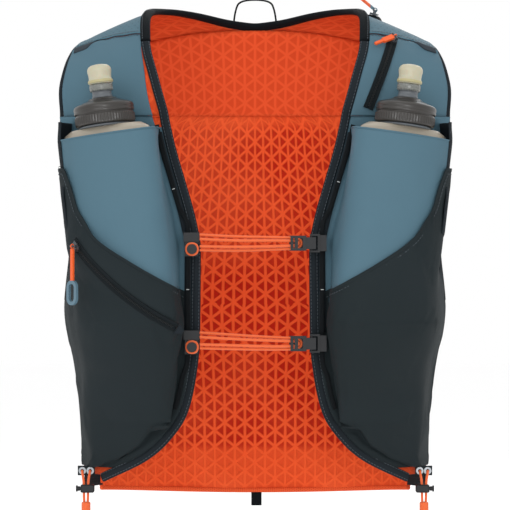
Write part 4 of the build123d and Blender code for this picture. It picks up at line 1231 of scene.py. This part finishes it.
def front_band(side, name):
    """Binding from the shoulder down one side of the open front, turning out at the hem."""
    points, outs = [], []
    for k in range(24):
        turn = 45 + 43 * k / 23
        points.append(shoulder(side, turn, along(NECK_X, turn), 2.2))
        outs.append(shoulder_out(turn))
    for k in range(110):
        z = -113 - 311 * k / 109
        angle = angle_at(along(OPENING, z), z)
        points.append(torso(side, angle, z, 2.2))
        outs.append(torso_normal(side, angle, z))
    stations = edge_stations(smooth_line(points, 190, 5), resample(outs, 190))
    stations = shifted(stations, 0, 0, 1 if stations[60][1].x * side > 0 else -1)
    section = flat_section(BINDING, -2.3, 2.1, 9, 0.25)
    tape_piece(f"front_band_{name}", stations, section, "binding", [f"front_binding_{name}"])
    for inset in (1.3, BINDING - 1.3):
        stitch_row(f"front_band_stitch_{name}_{inset}", stations, inset, 2.15)


def armhole_band(side, name):
    """Binding round one armhole, closed in a loop, with a point under the arm."""
    points, outs = [], []

    def add(point, out):
        points.append(point)
        outs.append(out)

    def over_shoulder(turn):
        add(shoulder(side, turn, along(ARM_X, turn), 1.6), Vector((side * 0.25, 0, 0)) + shoulder_out(turn))

    for k in range(46):
        over_shoulder(84 * k / 45)
    for k in range(60):
        z = -120 - 153.5 * k / 59
        add(torso(side, along(FRONT_EDGE, z), z, 1.6), torso_normal(side, along(FRONT_EDGE, z), z))
    for k in range(1, 24):
        angle = 88 + 27.5 * k / 24
        add(round_torso(side, angle, -274.5, 1.6), round_normal(side, angle, -274.5))
    for k in range(60):
        z = -273.5 + 153.5 * k / 59
        angle = along(BACK_EDGE, z)
        add(torso(side, angle, z, 1.6, back=True), torso_normal(side, angle, z, back=True))
    for k in range(45):
        over_shoulder(-84 + 84 * k / 45)
    total = 300
    loop = ease_loop(resample(points + [points[0]], total + 1)[:-1], 2)
    normals = ease_loop(resample(outs + [outs[0]], total + 1)[:-1], 6)
    stations = []
    for k, p in enumerate(loop):
        tangent = (loop[(k + 1) % total] - loop[k - 1]).normalized()
        out = (normals[k] - tangent * normals[k].dot(tangent)).normalized()
        stations.append((p, out.cross(tangent), out))
    stations = shifted(stations, 0, 0, 1 if stations[0][1].x * side < 0 else -1)
    tape_piece(f"armhole_band_{name}", stations, flat_section(5.2, -1.9, 1.5, 7, 0.2), "binding",
               ["armhole_bindings"], closed=True)
    stitch_row(f"armhole_stitch_{name}", stations, 4.0, 1.55, 3.1)


def ease_loop(points, passes):
    """Round the corners of a closed line."""
    for _ in range(passes):
        after = points[1:] + points[:1]
        points = [(points[k - 1] + p * 2 + after[k]) * 0.25 for k, p in enumerate(points)]
    return points


def hem_band():
    """Elastic binding along the back hem."""
    stations = []
    for k in range(81):
        share = k / 40 - 1
        side = 1 if share > 0 else -1
        p = torso(side, abs(share) * 63, HEM_Z, 2.9, back=True)
        out = torso_normal(side, abs(share) * 63, HEM_Z, back=True)
        stations.append((p + Vector((0, 0, hem_rise(p.x, HEM_Z) + 0.6)), Vector((0, 0, -1)), out))
    tape_piece("hem_band", stations, flat_section(4.4, -3.0, 0.5, 7, 0.2), "orange_smooth",
               ["hem_binding"])


RAIL_STRAIGHT = (57.0, -175.3)  # x and y of a rail's straight part


def rail(side):
    """Line of one rail: it follows the opening, and hangs straight and square behind the chest straps."""
    points = []
    for k in range(120):
        z = -118 - 242 * k / 119
        free = past_opening(z, BINDING) + RAIL_GAP
        y = torso(1, angle_at(free, z), z, 5.6).y
        hold = smooth(-188, -205, z) * smooth(-334, -318, z)
        x = free + (RAIL_STRAIGHT[0] - free) * hold
        points.append(Vector((side * x, y + (RAIL_STRAIGHT[1] - y) * hold, z)))
    return relax(points, 4)


def rails():
    """Webbing rails that the chest straps slide on, tacked down every so often."""
    tacks = []
    for side, name, heights in ((-1, "right", (-173, -258)), (1, "left", (-167, -213, -258))):
        points = rail(side)
        stations = edge_stations(points, [torso_normal(side, angle_at(p.x, p.z), p.z) for p in points])
        tape_piece(f"strap_rail_{name}", shifted(stations, -2.0), flat_section(4.0, -0.7, 0.7, 7, 0.1),
                   "webbing", ["strap_rails"])
        ridges = []
        even = resample(points, 170)
        for before, p, after in zip(even, even[1:], even[2:]):
            direction = (after - before).normalized()
            out = torso_normal(side, angle_at(p.x, p.z), p.z)
            across = out.cross(direction).normalized()
            ridges.append((p + out * 0.62, (across + direction * 0.55).normalized(), out, 3.7, 0.75, 0.5))
        small_bars(f"rail_ridges_{name}", ridges, "webbing")
        for z in heights:
            p, a, o = min(stations, key=lambda station: abs(station[0].z - z))
            tacks.append((p + o * 0.75, a, o, 2.6, 0.8, 0.35))
    small_bars("rail_bar_tacks", tacks, "bar_tack")


def back_tab():
    """Short tab below the middle of the hem, and the patches that hold the hem eyelets."""
    y = CHEST_Y + along(BACK_DEPTH, -445)
    across = Vector((1, 0, 0))
    stations = []
    for k in range(12):
        place = Vector((-3.4, y + 1.6 - 0.3 * sin(k / 3), -443.2 - 12.3 * k / 11))
        stations.append((place, across, BACKWARD))
    tape_piece("hem_tab_webbing", stations, flat_section(9.4, -1.0, 1.0, 5), "neck_binding",
               ["hem_tab"])
    y_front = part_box("hem_eyelets")[0].y / MM + 1.5
    for name, side in SIDES:
        start = side * HEM_AT[0] - 7.4
        stations = [(Vector((start, y_front, -410.7 - 8.3 * k / 9)), across, FRONTWARD) for k in range(10)]
        section = flat_section(14.8, -0.7, 0.4, 7)
        tape_piece(f"eyelet_patch_{name}", stations, section, "dark_fabric")


# ---------------------------------------------------------------- zips and hardware
def zip_frame(arc, share):
    """Point on a zip, with its directions: across the tape, along the zip and off the cloth."""
    p, along_zip, out = zip_point(arc, share)
    return p, out.cross(along_zip).normalized(), along_zip, out


def zip_run(name):
    """Tape with raised ridges and a coil along one curved zip."""
    arc = zip_arc(name)
    stations = []
    for k in range(90):
        p, across, _, out = zip_frame(arc, -0.02 + 1.04 * k / 89)
        stations.append((p, across, out))
    low, high, half_width, steps = -1.2, 0.35, 4.3, 36
    section = [(-half_width, low), (half_width, low), (half_width, high - 0.4)]
    for k in range(steps + 1):
        a = half_width - 2 * half_width * k / steps
        ridge = sum(exp(-((abs(a) - place) / 0.42) ** 2) for place in (1.9, 3.6))
        section.append((a, high + 0.5 * ridge - 0.5 * exp(-(a / 1.1) ** 2)))
    section.append((-half_width, high - 0.4))
    tape_piece(f"{name}_zip_tape", stations, section, "zip_tape", ["zip_tapes"])
    teeth = []
    count = int(radians(arc[4]) * arc[2] / 1.25)
    for k in range(1, count):
        p, across, along_zip, out = zip_frame(arc, k / count)
        slant = (across + along_zip * (0.22 if k % 2 else -0.22)).normalized()
        teeth.append((p + out * 0.55, slant, out, 2.5, 0.8, 0.9))
    small_bars(f"{name}_zip_coil", teeth, "zip_coil")


def zip_garage():
    """Small cloth triangle over the low end of the side zip."""
    p, across, along_zip, out = zip_frame(zip_arc("side"), 1.0)
    across = across if across.z > 0 else -across

    def point(u, t):
        s = 2 * u - 1
        wide = across * s * (5.4 * (1 - 0.55 * t))
        return p + along_zip * (3.0 + 6.0 * t) + wide + out * (1.7 - 0.5 * s * s)

    cloth_piece("side_zip_garage", grid(7, 9, point), out, 0.8, "binding")


def tidy_edges(obj, width):
    """Small round edges on a CAD solid that is kept."""
    flat = obj.modifiers.new("flat faces", "DECIMATE")
    flat.decimate_type = "DISSOLVE"
    flat.angle_limit = radians(2.0)
    bevel = obj.modifiers.new("edges", "BEVEL")
    bevel.width = width * MM
    bevel.segments = 2
    bevel.limit_method = "ANGLE"
    bevel.angle_limit = radians(40)
    bevel.harden_normals = True
    for face in obj.data.polygons:
        face.use_smooth = True


KEPT = {
    "trim_plastic": ["upper_keeper", "lower_keeper", "upper_buckle", "lower_buckle",
                     "upper_receiver", "lower_receiver", "hem_lock_right", "hem_lock_left",
                     "hem_button_right", "hem_button_left"],
    "zip_slider": ["side_zip_slider", "shoulder_zip_slider", "back_zip_slider"],
    "metal": ["hem_eyelets"],
    "cord_orange": ["hem_toggle_right", "hem_toggle_left"],
    "side_pull": ["side_zip_pull"],
    "shoulder_pull": ["shoulder_zip_pull"],
    "back_pull": ["back_zip_pull"],
}


def kept_hardware():
    """CAD solids that show as they are, with their finish and eased edges."""
    for look, names in KEPT.items():
        for name in names:
            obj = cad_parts[name]
            obj.data.materials.clear()
            obj.data.materials.append(LOOK[look])
            tidy_edges(obj, 0.22)


# ---------------------------------------------------------------- soft flasks
# height from the base of the cap, half width and half depth of a filled flask, from the bottom up
BAG_SLICES = [(-158.5, 26, 2.0), (-151, 36.5, 9.0), (-136, 41.5, 17.5), (-105, 43.2, 21.7),
              (-60, 43.3, 22.2), (-28, 43.2, 21.8), (-14, 42.4, 20.4), (-6, 39.5, 18.4), (-1.6, 33.0, 16.8)]


def flask_bag(side, name):
    """Filled soft flask: thin welded film, a little dented."""
    heights = [(-h, w) for h, w, _ in BAG_SLICES]
    depths = [(-h, d) for h, _, d in BAG_SLICES]
    segments, levels = 84, 72
    points, uvs = [], []
    for j in range(levels):
        h = -158.5 + 156.9 * (1 - (1 - j / (levels - 1)) ** 1.35)
        wide, deep = along(heights, -h), along(depths, -h)
        for i in range(segments):
            t = 2 * pi * i / segments
            p = on_flask(side, wide * cos(t), deep * sin(t), h)
            dent = folds(p, 30.0, 0.7, 40.0) * smooth(-2, -16, h) * smooth(-158, -145, h)
            seam = -0.6 * exp(-(sin(t) / 0.05) ** 2) * smooth(-4, -20, h)
            points.append(p + (p - on_flask(side, 0, 0, h)).normalized() * (dent - 0.5 + seam))
            uvs.append((i / segments * 0.2, h * MM))
    body = f"flask_{name}"
    new_piece(f"soft_flask_{name}", points, quads(levels, segments) + end_caps(levels, segments), uvs, body,
              "flask_film", [f"flask_bag_{name}"])
    collar = [(17.0, -1.9), (22.2, -1.9), (22.9, -1.2), (22.9, -0.4), (20.4, 0.1)]
    for k in range(5):
        collar += [(20.4, 1.6 + 2.2 * k), (20.9, 2.3 + 2.2 * k), (20.4, 3.0 + 2.2 * k)]
    collar += [(20.2, 12.3), (17.2, 12.3)]
    lathe(f"flask_collar_{name}", side, collar, body, "stem_plastic")


def flask_cap(side, name):
    """Wide screw cap: ribbed skirt under a smooth rim with two grooves, and a low dome."""
    body = f"flask_{name}_cap"
    profile = [(21.1, 0.5), (24.6, 0.45), (25.2, 0.9), (25.3, 1.6)]
    profile += [(25.25, 1.6 + 6.6 * k / 8) for k in range(1, 9)]
    profile += [(25.0, 8.8), (24.5, 9.2), (24.5, 9.7), (25.1, 10.1), (25.6, 10.8), (25.7, 12.0),
                (25.35, 12.7), (25.35, 13.1), (25.65, 13.7), (25.6, 15.2), (25.1, 16.6), (24.0, 17.6),
                (22.0, 18.4), (21.5, 18.2), (21.0, 18.5), (18.0, 19.7), (14.0, 21.0), (12.4, 21.7),
                (11.8, 22.6), (11.0, 23.0), (3.4, 23.0), (3.4, 15.4), (20.8, 15.2), (21.1, 14.5)]


    def ribs(radius, height, i):
        if not 1.5 < height < 8.5 or radius < 25:
            return 0.0
        return 0.42 * smooth(1.5, 2.4, height) * smooth(8.5, 7.6, height) * (1 if i % 4 < 2 else -0.4)

    lathe(f"screw_cap_{name}", side, profile, body, "cap_plastic", 256, ribs,
          [f"flask_cap_{name}"])


def flask_stem(side, name):
    """Drinking stem; the clear skirt under the valve is made with the valve."""
    body = f"flask_{name}_cap"
    stem = [(3.3, 23.1), (8.4, 23.1), (8.7, 23.5), (8.7, 25.0), (8.2, 25.3), (8.2, 28.6), (8.6, 28.9),
            (8.6, 32.6), (8.2, 33.6), (7.4, 34.5), (5.4, 34.6), (5.1, 35.0), (5.1, 44.2), (4.8, 44.6),
            (2.8, 44.6)]
    lathe(f"drinking_stem_{name}", side, stem, body, "stem_plastic", 64, None,
          [f"flask_stem_{name}"])


def bite_valve(side, name):
    """Soft bite valve: flared lip, waist and a slit top."""
    body = f"flask_{name}_valve"
    valve = [(5.7, 35.3), (9.2, 35.25), (9.9, 35.6), (10.3, 36.6), (10.35, 38.4), (9.9, 39.2), (9.6, 40.0),
             (9.7, 42.5), (10.1, 45.0), (10.3, 46.6), (10.0, 48.4), (9.0, 50.0), (7.2, 51.2), (4.6, 51.8),
             (1.6, 51.9), (0.05, 51.7)]
    lathe(f"valve_{name}", side, valve, body, "silicone", 64, None, [f"bite_valve_{name}"])
    band = [(9.9, 36.0), (10.6, 36.2), (10.75, 37.2), (10.6, 38.4), (9.9, 38.8)]
    lathe(f"valve_band_{name}", side, band, body, "valve_band", 64)
    skirt = [(8.9, 29.2), (9.6, 29.0), (10.0, 30.5), (10.1, 33.0), (9.9, 34.8), (9.2, 35.1), (8.8, 34.0)]
    lathe(f"valve_skirt_{name}", side, skirt, body, "clear_skirt", 64)
    lips = []
    for v in (-0.55, 0.55):
        centre = on_flask(side, 0, v, 51.85)
        _, across, _, up = flask_axes(side)
        lips.append((centre, across, up, 7.0, 0.9, 0.6))
    small_bars(f"valve_lips_{name}", lips, "silicone", body)


# ---------------------------------------------------------------- cords
def rope(name, route, diameter, body, look, replaces=()):
    """Round cord along a smooth spline through a given route, in millimetres."""
    curve = bpy.data.curves.new(name, "CURVE")
    curve.dimensions = "3D"
    spline = curve.splines.new("NURBS")
    spline.points.add(len(route) - 1)
    for point, p in zip(spline.points, route):
        point.co = (p[0] * MM, p[1] * MM, p[2] * MM, 1.0)
    spline.order_u = 3
    spline.use_endpoint_u = True
    spline.resolution_u = 10
    curve.bevel_depth = diameter * MM / 2
    curve.bevel_resolution = 4
    curve.use_fill_caps = True
    obj = placed(name, curve)
    curve.materials.append(LOOK[look])
    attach(obj, body)
    if replaces:
        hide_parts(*replaces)
    return obj


def spline_length(obj):
    """Length in metres of a curve's own line."""
    bare = placed("bare_line", obj.data.copy())
    bare.data.bevel_depth = 0
    graph = bpy.context.evaluated_depsgraph_get()
    line = bpy.data.meshes.new_from_object(bare.evaluated_get(graph))
    length = run_lengths([v.co for v in line.vertices])[-1]
    bpy.data.meshes.remove(line)
    bpy.data.curves.remove(bare.data)
    return length


STRAPS = {"upper": (-223.0, 4.0), "lower": (-306.0, 2.0)}  # middle of the keeper, rise of the buckle
# layer, its y, radius of its turn round the buckle's pin, heights of its two strands at the keeper
STRANDS = (("rear", -179.5, 4.4, 11.2, -1.8), ("front", -182.0, 1.9, 7.6, 1.4))
PEG_X, BIGHT_R = -53.4, 4.6  # keeper's peg, and radius of the cords' turn round it
STRAND_START, TURN_X = -46.8, 35.0  # where the strands leave the keeper, and the buckle's pin
CORD, HEM_CORD, HANG_CORD = 2.4, 2.2, 1.7  # diameters


def chest_strap(name):
    """Elastic of one chest strap: two doubled cords, and their turns round the keeper's peg."""
    z, rise = STRAPS[name]
    far = z + rise
    for label, y, turn, top, low in STRANDS:
        end = TURN_X + turn
        route = [(STRAND_START, y, z + top), (-22.0, y, z + top - 1.6), (20.0, y, far + turn + 0.4),
                 (end, y, far + turn), (end, y, far - turn), (20.0, y, far - turn - 0.6),
                 (-20.0, y, z + low - 0.8), (STRAND_START, y, z + low)]
        cord = rope(f"{name}_strap_cord_{label}", route, CORD, f"{name}_strap", "cord_orange",
                    [f"{name}_elastic"])
        [c * MM for c in route[0]]
        spline_length(cord)
        near, away, middle = PEG_X + BIGHT_R, PEG_X - BIGHT_R, z - 1
        loop = [(near, y, middle), (near, y, middle + BIGHT_R), (away, y, middle + BIGHT_R),
                (away, y, middle - BIGHT_R), (near, y, middle - BIGHT_R), (near, y, middle)]
        rope(f"{name}_bight_{label}", loop, CORD, f"{name}_keeper", "cord_orange",
             [f"{name}_bights"])


HEM_AT = (145.5, -129.0, -415.0)  # middle of a pair of eyelets
LEG = 1.75  # half the distance between the legs of a hem cord


def hem_cord(side, name):
    """Elastic hem cord: out of one eyelet, down through the lock and back to the other."""
    x, y, z = side * HEM_AT[0], HEM_AT[1], HEM_AT[2]
    front = y - 5.0
    route = [(x - 3.4, y - 1.4, z), (x - 3.1, front + 0.6, z - 2.2), (x - LEG, front, z - 9.5),
             (x - LEG, front, z - 30.0), (x + LEG, front, z - 30.0), (x + LEG, front, z - 9.5),
             (x + 3.1, front + 0.6, z - 2.2), (x + 3.4, y - 1.4, z)]
    cord = rope(f"hem_elastic_{name}", route, HEM_CORD, f"hem_{name}", "cord_orange",
                [f"hem_cord_{name}"])
    [c * MM for c in route[0]]
    spline_length(cord)


def hang_loop():
    """Thin cord loop behind the neck; its inside top is the origin."""
    half = [(19, 0.8, -18.7), (18, 0.6, -9), (13.5, 0.2, HANG_CORD / 2)]
    route = [(-x, y, z) for x, y, z in half] + half[::-1]
    rope("hang_loop_cord", route, HANG_CORD, "vest", "neck_binding", ["hang_loop"])


# ---------------------------------------------------------------- studio
LIGHTS = (("key", (-1.2, -2.6, 1.4), 1.6, 14), ("front", (0.2, -3.7, 0.15), 1.0, 26),
          ("top", (0.0, -0.2, 2.2), 1.8, 6), ("rear", (0.6, 2.4, 1.2), 1.6, 16))  # name, place, size, watts
FLOOR_RADIUS, FLOOR_Z = 9.0, -0.62
LOOK_AT = Vector((0, -0.1, -0.23))  # what the lights point at


def studio():
    """Pale floor, white surroundings, soft lights and the camera."""
    count = 64
    turns = [2 * pi * k / count for k in range(count)]
    rim = [(FLOOR_RADIUS * cos(t), FLOOR_RADIUS * sin(t), FLOOR_Z) for t in turns]
    mesh = bpy.data.meshes.new("floor")
    mesh.from_pydata(rim, [], [tuple(range(count))])
    floor = placed("floor", mesh)
    mesh.materials.append(Finish("studio_pale", (254, 254, 254), 0.9, 1.0).material)
    for name, place, size, power in LIGHTS:
        data = bpy.data.lights.new(name, "AREA")
        data.energy = power
        data.size = size
        lamp = placed(name, data)
        lamp.location = place
        lamp.rotation_euler = (LOOK_AT - Vector(place)).to_track_quat("-Z", "Y").to_euler()
    world = bpy.context.scene.world or bpy.data.worlds.new("World")
    bpy.context.scene.world = world
    world.use_nodes = True
    for socket, value in zip(world.node_tree.nodes["Background"].inputs, ((1.0, 1.0, 1.0, 1.0), 1.0)):
        socket.default_value = value
    bpy.context.scene.view_settings.view_transform = "Standard"
    data = bpy.data.cameras.new("camera")
    data.lens = 235.0
    data.sensor_width = 36.0
    camera = placed("camera", data)
    camera.location = (0.0, -3.0, -0.229)
    camera.rotation_euler = (pi / 2, 0, 0)
    bpy.context.scene.camera = camera


studio()
for strap in STRAPS:
    chest_strap(strap)
for name, side in SIDES:
    hem_cord(side, name)
hang_loop()
back_panel()
back_yoke()
back_bag()
bag_mouth()
stash_pocket()
for name, side in SIDES:
    shoulder_cloth(side, name)
    chest_cloth(side, name)
    lining(side, name)
    sleeve_cloth(side, name)
    edge_binding(side, name)
    pocket_cloth(side, name)
    side_panel(side, name)
    front_band(side, name)
    armhole_band(side, name)
    flask_bag(side, name)
    flask_cap(side, name)
    flask_stem(side, name)
    bite_valve(side, name)
neck_binding()
hem_band()
rails()
back_tab()
for zip_name in ("side", "shoulder", "back"):
    zip_run(zip_name)
zip_garage()
kept_hardware()
